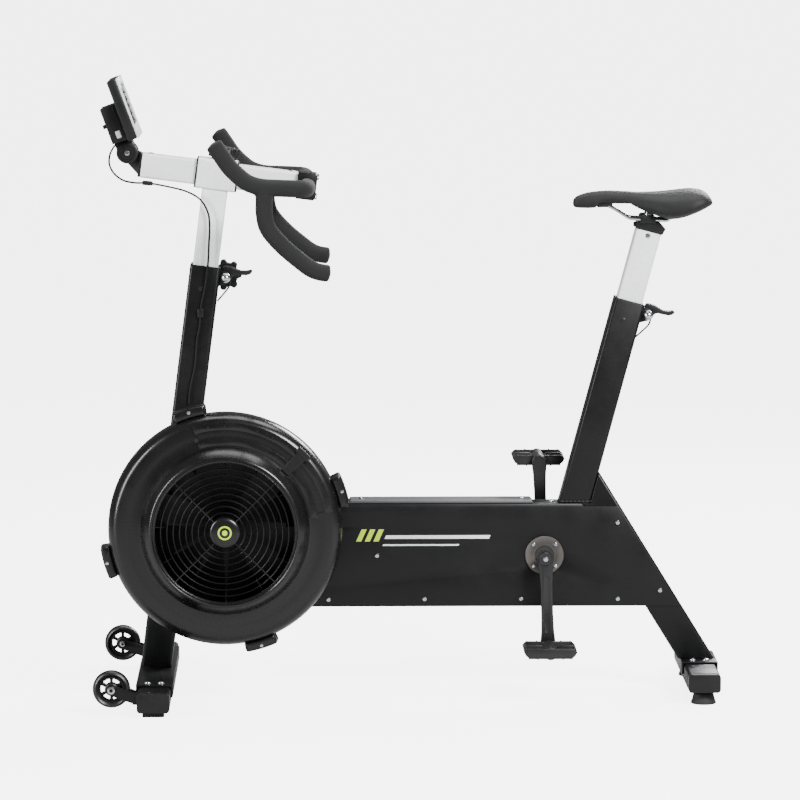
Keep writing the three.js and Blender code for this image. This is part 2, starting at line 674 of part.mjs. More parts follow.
function makeSaddle() {
  const around = 16;
  const positions = [];
  const indices = [];
  for (const [x, half, crown, under] of SADDLE_SECTIONS) {
    const flank = under + (crown - under) * 0.3;
    for (let i = 0; i < around; i++) {
      const angle = (i / around) * Math.PI * 2;
      const c = Math.cos(angle);
      const s = Math.sin(angle);
      const y = half * Math.sign(c) * Math.abs(c) ** 0.75;
      const z = s >= 0 ? flank + (crown - flank) * s ** 0.8 : flank + (flank - under) * s;
      positions.push(x, y, z);
    }
  }
  const rings = SADDLE_SECTIONS.length;
  for (let k = 0; k < rings - 1; k++)
    for (let i = 0; i < around; i++) {
      const a = k * around + i;
      const b = k * around + ((i + 1) % around);
      indices.push(a, b, a + around, b, b + around, a + around);
    }
  for (const [ring, flip] of [[0, false], [rings - 1, true]]) {
    const [x, , crown, under] = SADDLE_SECTIONS[ring];
    const hub = positions.length / 3;
    positions.push(x + (flip ? 1.5 : -1.5), 0, (crown + under) / 2);
    for (let i = 0; i < around; i++) {
      const a = ring * around + i;
      const b = ring * around + ((i + 1) % around);
      if (flip) indices.push(a, b, hub);
      else indices.push(a, hub, b);
    }
  }
  const geometry = new THREE.BufferGeometry();
  geometry.setAttribute("position", new THREE.Float32BufferAttribute(positions, 3));
  geometry.setIndex(indices);
  const hollow = plate([
    [372, 900], [372, 972], [440, 972], [470, 968], [560, 968], [560, 900],
  ], -33, 33);
  add("saddle", without(solid(geometry), hollow), FINISH.vinyl());
}

// ---- Latches and knobs ---------------------------------------------------------------------------

// The pin lever that hooks over a mast's mouth, in that mast's frame.
function makeLatch(name, place, face) {
  const pivot = place(face + 12, -16);
  const lever = plate([
    place(face + 3, -2), place(face + 6, 5), place(face + 22, 5), place(face + 40, -1),
    place(face + 54, 2), place(face + 60, 4), place(face + 63, 0), place(face + 58, -7),
    place(face + 42, -9), place(face + 26, -10), place(face + 16, -27), place(face + 8, -25),
    place(face + 4, -12),
  ], -12, 12);
  const pin = roundBar(pivot, 4, -31, 24, 10);
  const head = joined(roundBar(pivot, 9.5, -31, -26, 14), ball([pivot[0], -30, pivot[1]], 8, 10));
  add(name, joined(lever, pin, head), FINISH.blackPlastic());
}

// A star knob with seven lobes about the Z axis, its base at the origin, on a short stud.
function starKnob(height, stud) {
  const shape = new THREE.Shape();
  const lobes = 7;
  const steps = 28;
  for (let i = 0; i < steps; i++) {
    const angle = (i / steps) * Math.PI * 2;
    const radius = 27.5 + 3.5 * Math.cos(lobes * angle);
    if (i) shape.lineTo(radius * Math.cos(angle), radius * Math.sin(angle));
    else shape.moveTo(radius * Math.cos(angle), radius * Math.sin(angle));
  }
  shape.closePath();
  const crown = solid(new THREE.ExtrudeGeometry(shape, { depth: height, bevelEnabled: false }));
  return joined(crown, rod([0, 0, -stud], [0, 0, 1], 9, 16), rod([0, 0, height - 1], [0, 0, height + 3], 14, 20, 10));
}

function placed(piece, matrix) {
  return piece.transform(matrix.toArray());
}

function makeKnobs() {
  const lean = radians(MAST.lean);
  const up = V3(Math.sin(lean), 0, Math.cos(lean));
  const across = V3(0, 1, 0);
  const along = across.clone().cross(up);
  const base = sleevePlace(8, SLEEVE.size / 2 + GAP + 4);
  const upright = new THREE.Matrix4().makeBasis(along, across, up).setPosition(base[0], 0, base[1]);
  add("stem_knob", placed(starKnob(20, 4), upright), FINISH.blackPlastic());
  const pin = mastPlace(MAST.size / 2 + 12, -16);
  const sideways = new THREE.Matrix4()
    .makeBasis(V3(0, 0, 1), V3(1, 0, 0), V3(0, 1, 0))
    .setPosition(pin[0], 34, pin[1]);
  add("post_knob", placed(starKnob(18, 9), sideways), FINISH.blackPlastic());
}

// ---- Handlebar -----------------------------------------------------------------------------------

const mastPlace = leaning(MAST.top, MAST.lean);
const SLEEVE_UP = 182; // from the mast's mouth to the sleeve's centre
const sleeveCentre = mastPlace(0, SLEEVE_UP);
const sleevePlace = leaning(sleeveCentre, MAST.lean);
const stemAlong = (x) => (x - sleeveCentre[0]) / Math.cos(radians(MAST.lean));

function makeHandlebarPost() {
  const top = SLEEVE_UP - SLEEVE.size / 2 - GAP;
  const tube = squareTube(mastPlace(0, -POST.insertion), mastPlace(0, top), POST.size, POST.wall, 5);
  add("handlebar_post", tube, FINISH.silverPaint());
  const half = SLEEVE.length / 2;
  const sleeve = without(
    squareBar(sleevePlace(-half, 0), sleevePlace(half, 0), SLEEVE.size, 6),
    squareBar(sleevePlace(-half - 5, 0), sleevePlace(half + 5, 0), STEM.size + 2, 4),
  );
  add("stem_sleeve", sleeve, FINISH.silverPaint());
}

function makeStem() {
  const front = sleevePlace(stemAlong(STEM.front), 0);
  const rear = sleevePlace(stemAlong(STEM.rear), 0);
  add("stem_tube", squareTube(front, rear, STEM.size, 2.5, 4), FINISH.silverPaint());
  const start = stemAlong(STEM.rear) + GAP;
  const block = plate([
    sleevePlace(start, -26), sleevePlace(start + 34, -26), sleevePlace(start + 38, -22),
    sleevePlace(start + 38, 22), sleevePlace(start + 34, 26), sleevePlace(start, 26),
  ], -33, 33);
  const plug = squareBar(sleevePlace(start - 30, 0), sleevePlace(start + 2, 0), STEM.size - 6, 3);
  const bolts = [-1, 1].flatMap((a) => [-1, 1].map((b) => {
    const at = sleevePlace(start + 37, a * 19);
    const out = sleevePlace(start + 41, a * 19);
    return rod([at[0], b * 22, at[1]], [out[0], b * 22, out[1]], 4.5, 12);
  }));
  add("handlebar_clamp", joined(block, plug, bolts), FINISH.blackPaint());
}

function makeHandlebars() {
  const { side, radius } = GRIP;
  const bar = [
    [-378.5, -side, 1100.5], [-362, -side, 1077], [-344.5, -side, 1052], [-318, -side, 1027.5],
    [-298, -side, 1018], [-277, -side, 1014], [-240, -side, 1012.5], [-216, -side + 2, 1011.5],
    [-204, -side + 12, 1010.5], [-199.5, -side + 32, 1009], [-198, -120, 1006.5], [-197, -34, 1004],
  ];
  const drop = [
    [-279, -side, 1012], [-279.5, -side, 985], [-279, -side, 962], [-271.5, -side, 934],
    [-245, -side, 902.5], [-213, -side, 875], [-191, -side, 858.5], [-174, -side, 851.5], [-151, -side, 848],
  ];
  const left = joined(swept(bar, radius, 24, 8), swept(drop, radius, 16, 8));
  add("left_handlebar", left, FINISH.foam());
  add("right_handlebar", mirrored(left), FINISH.foam());
}

// ---- Monitor -------------------------------------------------------------------------------------

const monitorPlace = leaning(MONITOR.pivot, -MONITOR.tilt); // along: towards the rider, up: up the case

function makeMonitorArm() {
  const [px, pz] = MONITOR.pivot;
  const start = stemAlong(STEM.front) - GAP;
  const top = sleevePlace(start, 23);
  const low = sleevePlace(start, -23);
  const web = plate([[px + 2, pz + 15], top, low, [px - 8, pz - 12]], -13, 13);
  const flange = plate([top, low, sleevePlace(start - 5, -23), sleevePlace(start - 5, 23)], -23, 23);
  const hub = roundBar([px, pz], 15, -13, 13, 28);
  add("monitor_arm", joined(web, flange, hub), FINISH.blackPaint());
}

function makeMonitor() {
  const { pivot, width, height, thick } = MONITOR;
  const half = width / 2;
  const low = 22.4;
  const back = 13.3;
  const front = back + thick;
  const corner = (a, u) => monitorPlace(a, u);
  const slab = plate([
    corner(back, low + 3), corner(back + 3, low), corner(front, low), corner(front, low + height),
    corner(back + 3, low + height), corner(back, low + height - 3),
  ], -half, half);
  const rear = back - 33;
  const top = low + 76;
  const battery = plate([
    corner(back + 1, low + 3), corner(rear + 4, low + 4), corner(rear, low + 8),
    corner(rear, top - 4), corner(rear + 4, top), corner(back + 1, top),
  ], -46, 46);
  const knob = plate([corner(rear + 1, low + 36), corner(rear - 7, low + 36), corner(rear - 7, low + 44),
    corner(rear + 1, low + 44)], -30, -20);
  const cheek = (y0, y1) => joined(
    roundBar(pivot, 21, y0, y1, 24),
    plate([corner(-20, 0), corner(20, 2), corner(back + 10, low + 6), corner(rear + 5, low + 8)], y0, y1),
  );
  const boltHead = roundBar(pivot, 8, -31, -27, 20);
  const cavity = roundBar(pivot, 24, -13 - GAP, 13 + GAP, 32);
  const body = without(joined(slab, battery), cavity);
  add("monitor_case", joined(body, knob, cheek(-28, -13 - GAP), cheek(13 + GAP, 28), boltHead),
    FINISH.blackPlastic());
  makeBezel(front + GAP, low, half, height);
}

function makeBezel(face, low, half, height) {
  const thick = 4;
  const sheet = (r0, r1, y0, y1) =>
    plate([monitorPlace(face, r0), monitorPlace(face + thick, r0), monitorPlace(face + thick, r1),
      monitorPlace(face, r1)], y0, y1);
  const cutter = (r0, r1, y0, y1) =>
    plate([monitorPlace(face - 5, r0), monitorPlace(face + thick + 5, r0),
      monitorPlace(face + thick + 5, r1), monitorPlace(face - 5, r1)], y0, y1);
  const screen = cutter(low + 26, low + height - 14, -42, 66);
  const rows = [0, 1, 2, 3, 4].map((i) => low + 37.5 + i * 13.9);
  const wells = rows.map((row) => cutter(row - 4.3, row + 4.3, -half + 8, -half + 25));
  add("monitor_bezel", without(sheet(low, low + height, -half, half), screen, wells), FINISH.paleGrey());
  rows.forEach((row, i) => {
    const key = plate([
      monitorPlace(face + 1.8, row - 4), monitorPlace(face + 6.5, row - 4),
      monitorPlace(face + 7.5, row - 3), monitorPlace(face + 7.5, row + 3),
      monitorPlace(face + 6.5, row + 4), monitorPlace(face + 1.8, row + 4),
    ], -half + 8.3, -half + 24.7);
    add(`monitor_button_${i + 1}`, key, FINISH.blackPlastic());
  });
}

// ---- Sensor cable --------------------------------------------------------------------------------

function makeCable() {
  const route = [
    [-569.8, -34, 1086.6], [-575.5, -34, 1080], [-582, -32, 1066], [-583, -31, 1048], [-574, -30, 1030], [-556, -30, 1016.5],
    [-532, -29, 1011.5], [-508, -28, 1011], [-472, -28, 1004.5], [-434, -30, 995], [-406, -33, 979],
    [-391, -34, 953], [-388, -34.5, 925], [-389.5, -35, 892], [-391, -35, 860], [-393, -35, 841],
    [-398.5, -34, 803], [-406, -33.5, 767], [-408, -33.5, 733], [-413.5, -33.5, 704],
    [-418, -33.5, 654], [-425, -33.5, 620], [-429, -33.5, 596], [-430, -33.5, 577],
  ];
  add("cable", swept(route, 2, 40, 8), FINISH.rubber());
}

// ---- Assembly ------------------------------------------------------------------------------------

makeFrontMast();
makeSeatMast();
makeRearLeg();
makeFeet();
makeBracket("front_foot_bracket", FRONT_FOOT, 225);
makeBracket("rear_foot_bracket", REAR_FOOT, 66);
makeBeam();
makePanels();
makeTopCover();
makeFanFront();
makeGrille();
makeFanRear();
makeDamper();
makeFlywheel();
makeShafts();
makeBelts();
makeBearingPlates();
makeCrankArm("left", -1);
makeCrankArm("right", 1);
makePedal("left", -1);
makePedal("right", 1);
makeSeatPost();
makeSaddleHead();
makeRails();
makeSaddle();
makeLatch("seat_latch", seatTop, SEAT_MAST.size / 2);
makeLatch("handlebar_latch", mastPlace, MAST.size / 2);
makeKnobs();
makeHandlebarPost();
makeStem();
makeHandlebars();
makeMonitorArm();
makeMonitor();
makeCable();

export default bike;
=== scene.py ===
"""An air-resistance exercise bike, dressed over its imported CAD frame.

Units are metres in the frame of the CAD part: +Z is up, -X is the front and -Y the fan's side.
Sizes are given in millimetres where they are read and turned to metres by mm().
"""

from __future__ import annotations

import json
import logging
import math
from collections.abc import Callable
from dataclasses import dataclass
from enum import Enum

import bpy
from mathutils import Euler, Matrix, Vector


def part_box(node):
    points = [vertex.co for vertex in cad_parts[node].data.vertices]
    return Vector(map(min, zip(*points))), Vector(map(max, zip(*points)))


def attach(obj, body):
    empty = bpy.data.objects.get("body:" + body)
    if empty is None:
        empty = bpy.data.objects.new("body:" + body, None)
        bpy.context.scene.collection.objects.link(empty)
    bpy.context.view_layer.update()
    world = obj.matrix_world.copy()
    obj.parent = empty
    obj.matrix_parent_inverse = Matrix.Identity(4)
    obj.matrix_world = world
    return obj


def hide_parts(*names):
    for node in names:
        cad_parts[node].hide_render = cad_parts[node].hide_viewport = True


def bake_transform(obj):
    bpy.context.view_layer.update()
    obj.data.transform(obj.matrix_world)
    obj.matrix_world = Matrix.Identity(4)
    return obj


LOG = logging.getLogger("exercise_bike")

Pair = tuple[float, float]
Point = tuple[float, float, float]
Place = Callable[[float, float], Pair]

MM = 0.001
SIDES = (("left", -1.0), ("right", 1.0))
DIAGONALS = (45, 135, 225, 315)
MERGE_DISTANCE = 2e-6
SAME_PLACE = 1e-7
FLAT_DEGREES = 0.6
MOUTH_DEPTH = 25


def mm(value: float) -> float:
    """Returns a length in millimetres as metres."""
    return value * MM


def linear(hex_colour: str) -> tuple[float, float, float, float]:
    """Turns an sRGB hex colour into a linear RGBA colour.

    Args:
        hex_colour: Six hex digits after a hash, such as "#1b1b1c".

    Returns:
        The colour as four linear numbers, with alpha 1.
    """
    parts = [int(hex_colour[i : i + 2], 16) / 255 for i in (1, 3, 5)]
    red, green, blue = (c / 12.92 if c <= 0.04045 else ((c + 0.055) / 1.055) ** 2.4 for c in parts)
    return (red, green, blue, 1.0)


# ---- Finishes ------------------------------------------------------------------------------------


class Grain(Enum):
    """How a surface was made, which sets the pattern of its bump."""

    ORANGE_PEEL = "sprayed or baked paint, with soft round ripples"
    MOULDED = "spark-eroded mould texture, with small pits"
    FOAM = "closed-cell foam, with open pores"
    VINYL = "embossed vinyl, with a pebbled grain"
    TURNED = "lathe-turned or drawn metal, with fine lines"
    RUBBER = "pressed rubber, with a dry fine grain"


def add_node(tree: bpy.types.NodeTree, kind: str, settings: dict, links: dict) -> bpy.types.Node:
    """Adds one shader node.

    Args:
        tree: The material's node tree.
        kind: The node's type name, such as "ShaderNodeTexNoise".
        settings: Attributes to set, and inputs to set under a key that starts with "in:".
        links: Input name or number to the output socket that feeds it.

    Returns:
        The new node.
    """
    node = tree.nodes.new(kind)
    for key, value in settings.items():
        if key.startswith("in:"):
            name = key[3:]
            node.inputs[int(name) if name.isdigit() else name].default_value = value
        else:
            setattr(node, key, value)
    for name, socket in links.items():
        tree.links.new(socket, node.inputs[name])
    return node


@dataclass(frozen=True)
class Finish:
    """One real finish: its colours, its gloss and the pattern its making left.

    Attributes:
        name: The material's name.
        slot: The record's material slot that it belongs to; not used.
        colour: The main colour as sRGB hex.
        shade: The colour that it drifts to, as sRGB hex.
        roughness: Microsurface roughness, from 0 to 1.
        grain: The pattern that its making left.
        grain_mm: The real size of one cell of that pattern.
        relief_mm: The height of the pattern.
        metallic: 1 for bare metal, else 0.
        ior: The index of refraction of its top surface.
        coat: The weight of a clear coat.
        drift_mm: The size of the slow colour and gloss drift.
        sheen: The weight of soft fibre or dust sheen.
    """

    name: str
    slot: str
    colour: str
    shade: str
    roughness: float
    grain: Grain
    grain_mm: float
    relief_mm: float
    metallic: float = 0.0
    ior: float = 1.5
    coat: float = 0.0
    drift_mm: float = 60.0
    sheen: float = 0.0

    def material(self) -> bpy.types.Material:
        """Builds the material, or returns it if it is already made."""
        made = bpy.data.materials.get(self.name)
        if made:
            return made
        made = bpy.data.materials.new(self.name)
        made.use_nodes = True
        tree = made.node_tree
        tree.nodes.clear()
        place = add_node(tree, "ShaderNodeTexCoord", {}, {}).outputs["Object"]
        drift = add_node(
            tree,
            "ShaderNodeTexNoise",
            {"in:Scale": 1 / mm(self.drift_mm), "in:Detail": 4.0, "in:Roughness": 0.6},
            {"Vector": place},
        ).outputs["Fac"]
        height = self._height(tree, place)
        colour = add_node(
            tree,
            "ShaderNodeMix",
            {"data_type": "RGBA", "in:6": linear(self.colour), "in:7": linear(self.shade)},
            {0: self._spread(tree, drift, 0.0, 1.0)},
        ).outputs[2]
        # Painted shade and light: the colour is darkened where the grain's height is low and
        # lightened where it is high, so the grain's hollows read shaded and its crests read lit.
        hollow_shaded_colour = add_node(
            tree,
            "ShaderNodeMix",
            {"data_type": "RGBA", "blend_type": "MULTIPLY", "in:0": 0.5},
            {6: colour, 7: self._spread(tree, height, 0.72, 1.12)},
        ).outputs[2]
        gloss = add_node(
            tree,
            "ShaderNodeMath",
            {"operation": "ADD"},
            {0: self._spread(tree, drift, self.roughness - 0.05, self.roughness + 0.05),
             1: self._spread(tree, height, -0.03, 0.03)},
        ).outputs[0]
        bump = add_node(
            tree,
            "ShaderNodeBump",
            {"in:Strength": 0.6, "in:Distance": mm(self.relief_mm)},
            {"Height": height},
        ).outputs["Normal"]
        shader = add_node(
            tree,
            "ShaderNodeBsdfPrincipled",
            {"in:Metallic": self.metallic, "in:IOR": self.ior, "in:Coat Weight": self.coat,
             "in:Coat Roughness": 0.12, "in:Sheen Weight": self.sheen, "in:Sheen Roughness": 0.6},
            {"Base Color": hollow_shaded_colour, "Roughness": gloss, "Normal": bump},
        )
        add_node(tree, "ShaderNodeOutputMaterial", {}, {"Surface": shader.outputs[0]})
        return made

    def _spread(
        self, tree: bpy.types.NodeTree, value: bpy.types.NodeSocket, low: float, high: float
    ) -> bpy.types.NodeSocket:
        """Returns a 0 to 1 socket stretched about its middle to run from low to high."""
        return add_node(
            tree,
            "ShaderNodeMapRange",
            {"in:1": 0.3, "in:2": 0.7, "in:3": low, "in:4": high},
            {"Value": value},
        ).outputs[0]

    def _height(
        self, tree: bpy.types.NodeTree, place: bpy.types.NodeSocket
    ) -> bpy.types.NodeSocket:
        """Returns the height of the grain as a socket, at its real scale."""
        scale = 1 / mm(self.grain_mm)
        if self.grain in (Grain.FOAM, Grain.VINYL):
            cells = add_node(
                tree,
                "ShaderNodeTexVoronoi",
                {"feature": "F1" if self.grain is Grain.FOAM else "SMOOTH_F1", "in:Scale": scale},
                {"Vector": place},
            ).outputs["Distance"]
            dust = add_node(
                tree, "ShaderNodeTexNoise", {"in:Scale": scale * 2.5, "in:Detail": 3.0},
                {"Vector": place},
            ).outputs["Fac"]
            return add_node(
                tree, "ShaderNodeMix", {"data_type": "FLOAT", "in:0": 0.4}, {2: cells, 3: dust}
            ).outputs[0]
        if self.grain is Grain.TURNED:
            lines = add_node(
                tree, "ShaderNodeMapping", {"in:Scale": (scale, scale * 0.04, scale)},
                {"Vector": place},
            ).outputs[0]
            return add_node(
                tree, "ShaderNodeTexNoise", {"in:Scale": 1.0, "in:Detail": 5.0}, {"Vector": lines}
            ).outputs["Fac"]
        detail = {Grain.ORANGE_PEEL: 1.5, Grain.MOULDED: 4.0, Grain.RUBBER: 6.0}[self.grain]
        return add_node(
            tree,
            "ShaderNodeTexNoise",
            {"in:Scale": scale, "in:Detail": detail, "in:Roughness": 0.55},
            {"Vector": place},
        ).outputs["Fac"]


class Finishes:
    """Every finish on the bike, named for what it really is."""

    # Baked powder coat over steel tube: satin black with a faint orange peel.
    BLACK_COAT = Finish("black powder coat", "black_paint", "#0a0a0b", "#0e0e0f", 0.4,
                        Grain.ORANGE_PEEL, 2.2, 0.05, ior=1.32)
    # The same coat in silver-white on the sliding tubes.
    SILVER_COAT = Finish("silver powder coat", "silver_paint", "#e6e7e8", "#dbdcde", 0.4,
                         Grain.ORANGE_PEEL, 2.2, 0.04)
    # ABS shell, moulded in a polished tool with a light spark texture.
    HOUSING = Finish("black abs shell", "housing_plastic", "#0a0a0b", "#0d0d0e", 0.28,
                     Grain.MOULDED, 1.6, 0.012, coat=0.1, ior=1.4)
    # Glass-filled nylon: greyer and duller than the shell.
    NYLON = Finish("black nylon", "black_plastic", "#0c0c0d", "#111112", 0.42,
                   Grain.MOULDED, 1.3, 0.06, ior=1.38)
    GREY_PLASTIC = Finish("grey abs lid", "grey_plastic", "#4d4d4f", "#444446", 0.45,
                          Grain.MOULDED, 1.4, 0.05)
    PALE_PLASTIC = Finish("pale grey abs", "pale_plastic", "#cdced0", "#c0c1c3", 0.4,
                          Grain.MOULDED, 1.2, 0.03)
    KEYS = Finish("silicone keys", "key_rubber", "#1b1b1c", "#202021", 0.55, Grain.RUBBER, 0.8,
                  0.03)
    RESIN = Finish("pedal resin", "pedal_plastic", "#0f0f10", "#141415", 0.4, Grain.MOULDED, 1.2,
                   0.08)
    RUBBER = Finish("pressed rubber", "rubber", "#101010", "#161616", 0.75, Grain.RUBBER, 0.9, 0.08)
    TYRE = Finish("polyurethane tyre", "wheel_rubber", "#0f0f10", "#141415", 0.38,
                  Grain.RUBBER, 1.1, 0.03)
    BELT = Finish("drive belt", "belt_rubber", "#141414", "#1a1a1a", 0.7, Grain.RUBBER, 0.8, 0.06)
    SHEATH = Finish("cable sheath", "cable_rubber", "#0b0b0c", "#0f0f10", 0.65, Grain.RUBBER, 0.7,
                    0.02, ior=1.32)
    # Nitrile foam grip: matt, with open pores under a millimetre across.
    FOAM = Finish("grip foam", "foam", "#141415", "#19191a", 0.86, Grain.FOAM, 1.1, 0.16,
                  sheen=0.04, drift_mm=35, ior=1.3)
    # Vinyl drawn over the saddle's foam, embossed with a small pebble grain.
    VINYL = Finish("saddle vinyl", "saddle_cover", "#121213", "#171718", 0.62, Grain.VINYL, 1.5,
                   0.16,
                   sheen=0.03, drift_mm=45, ior=1.3)
    STEEL = Finish("turned steel", "steel", "#a7a8aa", "#8f9092", 0.32, Grain.TURNED, 0.6, 0.02,
                   metallic=1.0)
    # Zinc-plated screws: bright, slightly blue, finely scratched.
    ZINC = Finish("zinc plate", "bright_steel", "#d3d5d8", "#b4b6ba", 0.22, Grain.TURNED, 0.5, 0.01,
                  metallic=1.0)
    CHROME = Finish("chrome rod", "bright_steel", "#e0e1e3", "#c8c9cc", 0.12, Grain.TURNED, 0.6,
                    0.005,
                    metallic=1.0)
    GREY_STEEL = Finish("phosphated steel", "grey_steel", "#6a6662", "#5a5653", 0.42,
                        Grain.TURNED, 0.7, 0.02, metallic=0.8)
    CRANK_COAT = Finish("black crank coat", "crank_metal", "#101011", "#151516", 0.32,
                        Grain.ORANGE_PEEL, 1.6, 0.04)
    LIME = Finish("lime vinyl film", "black_paint", "#b5d61e", "#adcd1a", 0.4, Grain.ORANGE_PEEL, 3,
                  0.01)
    WHITE_FILM = Finish("white vinyl film", "black_paint", "#e4e5e6", "#d9dadb", 0.4,
                        Grain.ORANGE_PEEL, 3, 0.01)
    LCD = Finish("liquid crystal", "pale_plastic", "#8d9783", "#858f7b", 0.18, Grain.ORANGE_PEEL, 4,
                 0.005)
    LABEL = Finish("paper label", "pale_plastic", "#d6d7d8", "#cfd0d1", 0.6, Grain.RUBBER, 0.8,
                   0.01)
    FLOOR = Finish("studio floor", "black_paint", "#bcbcbd", "#b8b8b9", 0.9, Grain.RUBBER, 3, 0.01)


# ---- Bench: the modelling moves that every piece is made with -----------------------------------


class Bench:
    """Modelling moves made with Blender's own operators, as by hand."""

    @staticmethod
    def clear() -> None:
        """Leaves edit mode and deselects everything."""
        if bpy.context.object and bpy.context.object.mode != "OBJECT":
            bpy.ops.object.mode_set(mode="OBJECT")
        bpy.ops.object.select_all(action="DESELECT")

    @staticmethod
    def hold(piece: bpy.types.Object) -> bpy.types.Object:
        """Makes a piece the only selected and the active one."""
        Bench.clear()
        piece.select_set(True)
        bpy.context.view_layer.objects.active = piece
        return piece

    @staticmethod
    def settle(piece: bpy.types.Object) -> bpy.types.Object:
        """Bakes a piece's place, turn and size into its mesh."""
        Bench.hold(piece)
        bpy.ops.object.transform_apply(location=True, rotation=True, scale=True)
        return piece

    @staticmethod
    def apply(piece: bpy.types.Object, kind: str, **settings: object) -> bpy.types.Object:
        """Adds one modifier and applies it.

        Args:
            piece: The piece to change.
            kind: The modifier's type.
            **settings: The modifier's attributes.

        Returns:
            The same piece.
        """
        Bench.hold(piece)
        modifier = piece.modifiers.new(kind.lower(), kind)
        for key, value in settings.items():
            setattr(modifier, key, value)
        bpy.ops.object.modifier_apply(modifier=modifier.name)
        return piece

    @staticmethod
    def round_edges(
        piece: bpy.types.Object, radius: float, segments: int = 2, angle: float = 30.0
    ) -> bpy.types.Object:
        """Rounds every edge sharper than an angle, then shades it smooth.

        Args:
            piece: The piece to round.
            radius: The rounding in millimetres.
            segments: Faces across the rounding.
            angle: The sharpest edge that is left, in degrees.

        Returns:
            The same piece.
        """
        if radius:
            Bench.apply(piece, "BEVEL", width=mm(radius), segments=segments, limit_method="ANGLE",
                        angle_limit=math.radians(angle), use_clamp_overlap=True)
        return Bench.smooth(piece)

    @staticmethod
    def smooth(piece: bpy.types.Object, angle: float = 40.0) -> bpy.types.Object:
        """Shades a piece smooth, apart from edges sharper than an angle in degrees."""
        Bench.hold(piece)
        bpy.ops.object.shade_smooth_by_angle(angle=math.radians(angle))
        return piece

    @staticmethod
    def clean(piece: bpy.types.Object, flat: bool = False) -> bpy.types.Object:
        """Merges doubled vertices and turns every face outwards.

        Args:
            piece: The piece to clean.
            flat: Whether faces in one plane are also dissolved into one.

        Returns:
            The same piece.
        """
        Bench.hold(piece)
        bpy.ops.object.mode_set(mode="EDIT")
        bpy.ops.mesh.select_all(action="SELECT")
        bpy.ops.mesh.remove_doubles(threshold=MERGE_DISTANCE)
        if flat:
            bpy.ops.mesh.dissolve_limited(angle_limit=math.radians(FLAT_DEGREES))
        bpy.ops.mesh.select_all(action="SELECT")
        bpy.ops.mesh.normals_make_consistent(inside=False)
        bpy.ops.object.mode_set(mode="OBJECT")
        return piece

    @staticmethod
    def join(name: str, pieces: list[bpy.types.Object]) -> bpy.types.Object:
        """Joins pieces into the first one and names it."""
        Bench.hold(pieces[0])
        for piece in pieces:
            piece.select_set(True)
        if len(pieces) > 1:
            bpy.ops.object.join()
        pieces[0].name = name
        return pieces[0]

    @staticmethod
    def copy(piece: bpy.types.Object, matrix: Matrix) -> bpy.types.Object:
        """Returns a copy of a piece with its own mesh, moved by a matrix."""
        twin = piece.copy()
        twin.data = piece.data.copy()
        bpy.context.collection.objects.link(twin)
        twin.data.transform(matrix)
        if matrix.determinant() < 0:
            twin.data.flip_normals()
        return twin

    @staticmethod
    def from_node(node: str, name: str, radius: float) -> bpy.types.Object:
        """Copies a CAD node, merges its triangles into clean faces and rounds its edges.

        Args:
            node: The CAD node's name.
            name: The new piece's name.
            radius: The rounding of its edges in millimetres.

        Returns:
            The new piece.
        """
        source = FRAME["nodes"][node]
        piece = bpy.data.objects.new(name, source.data.copy())
        piece.data.materials.clear()
        bpy.context.collection.objects.link(piece)
        Bench.clean(piece, flat=True)
        return Bench.round_edges(piece, radius)

    @staticmethod
    def prism(
        name: str, outline: list[Pair], y0: float, y1: float, radius: float = 0.0,
        segments: int = 2, centre: Pair = (0, 0),
    ) -> bpy.types.Object:
        """Extrudes an outline in X and Z from y0 to y1, with rounded edges.

        Args:
            name: The piece's name.
            outline: The corners as X and Z in millimetres.
            y0: The near face in millimetres.
            y1: The far face in millimetres.
            radius: The rounding of the edges in millimetres.
            segments: Faces across the rounding.
            centre: Added to every corner, in millimetres.

        Returns:
            The new piece.
        """
        Bench.clear()
        bpy.ops.mesh.primitive_circle_add(vertices=len(outline), fill_type="NGON")
        piece = bpy.context.object
        piece.name = name
        for vertex, (x, z) in zip(piece.data.vertices, outline):
            vertex.co = (mm(x + centre[0]), mm(y0), mm(z + centre[1]))
        bpy.ops.object.mode_set(mode="EDIT")
        bpy.ops.mesh.select_all(action="SELECT")
        bpy.ops.mesh.extrude_region_move(TRANSFORM_OT_translate={"value": (0, mm(y1 - y0), 0)})
        bpy.ops.object.mode_set(mode="OBJECT")
        piece.matrix_world = Matrix()
        Bench.clean(piece)
        return Bench.round_edges(piece, radius, segments)

    @staticmethod
    def lathe(
        name: str, profile: list[Pair], centre: Point, axis: str = "Y", steps: int = 48,
        closed: bool = False,
    ) -> bpy.types.Object:
        """Spins a profile once round an axis.

        Args:
            name: The piece's name.
            profile: Points as radius and place along the axis, in millimetres.
            centre: A point on the axis in millimetres; the place along the axis is added to it.
            axis: "X", "Y" or "Z".
            steps: Faces round the turn.
            closed: Whether the profile's last point joins its first.

        Returns:
            The new piece.
        """
        Bench.clear()
        bpy.ops.mesh.primitive_circle_add(vertices=len(profile), fill_type="NOTHING")
        piece = bpy.context.object
        piece.name = name
        piece.matrix_world = Matrix()
        unit = {"X": Vector((1, 0, 0)), "Y": Vector((0, 1, 0)), "Z": Vector((0, 0, 1))}[axis]
        out = Vector((0, 0, 1)) if axis == "X" else Vector((1, 0, 0))
        hub = Vector(centre)
        for vertex, (radius, along) in zip(piece.data.vertices, profile):
            vertex.co = (hub + out * radius + unit * along) * MM
        last = len(profile) - 1
        for edge in piece.data.edges:
            edge.select = not closed and set(edge.vertices) == {0, last}
        for vertex in piece.data.vertices:
            vertex.select = False
        bpy.context.tool_settings.mesh_select_mode = (False, True, False)
        bpy.ops.object.mode_set(mode="EDIT")
        if not closed:
            bpy.ops.mesh.delete(type="EDGE")
        bpy.context.tool_settings.mesh_select_mode = (True, False, False)
        bpy.ops.mesh.select_all(action="SELECT")
        bpy.ops.mesh.spin(steps=steps, angle=math.tau, center=hub * MM, axis=unit)
        bpy.ops.object.mode_set(mode="OBJECT")
        Bench.clean(piece)
        return Bench.smooth(piece, 32)

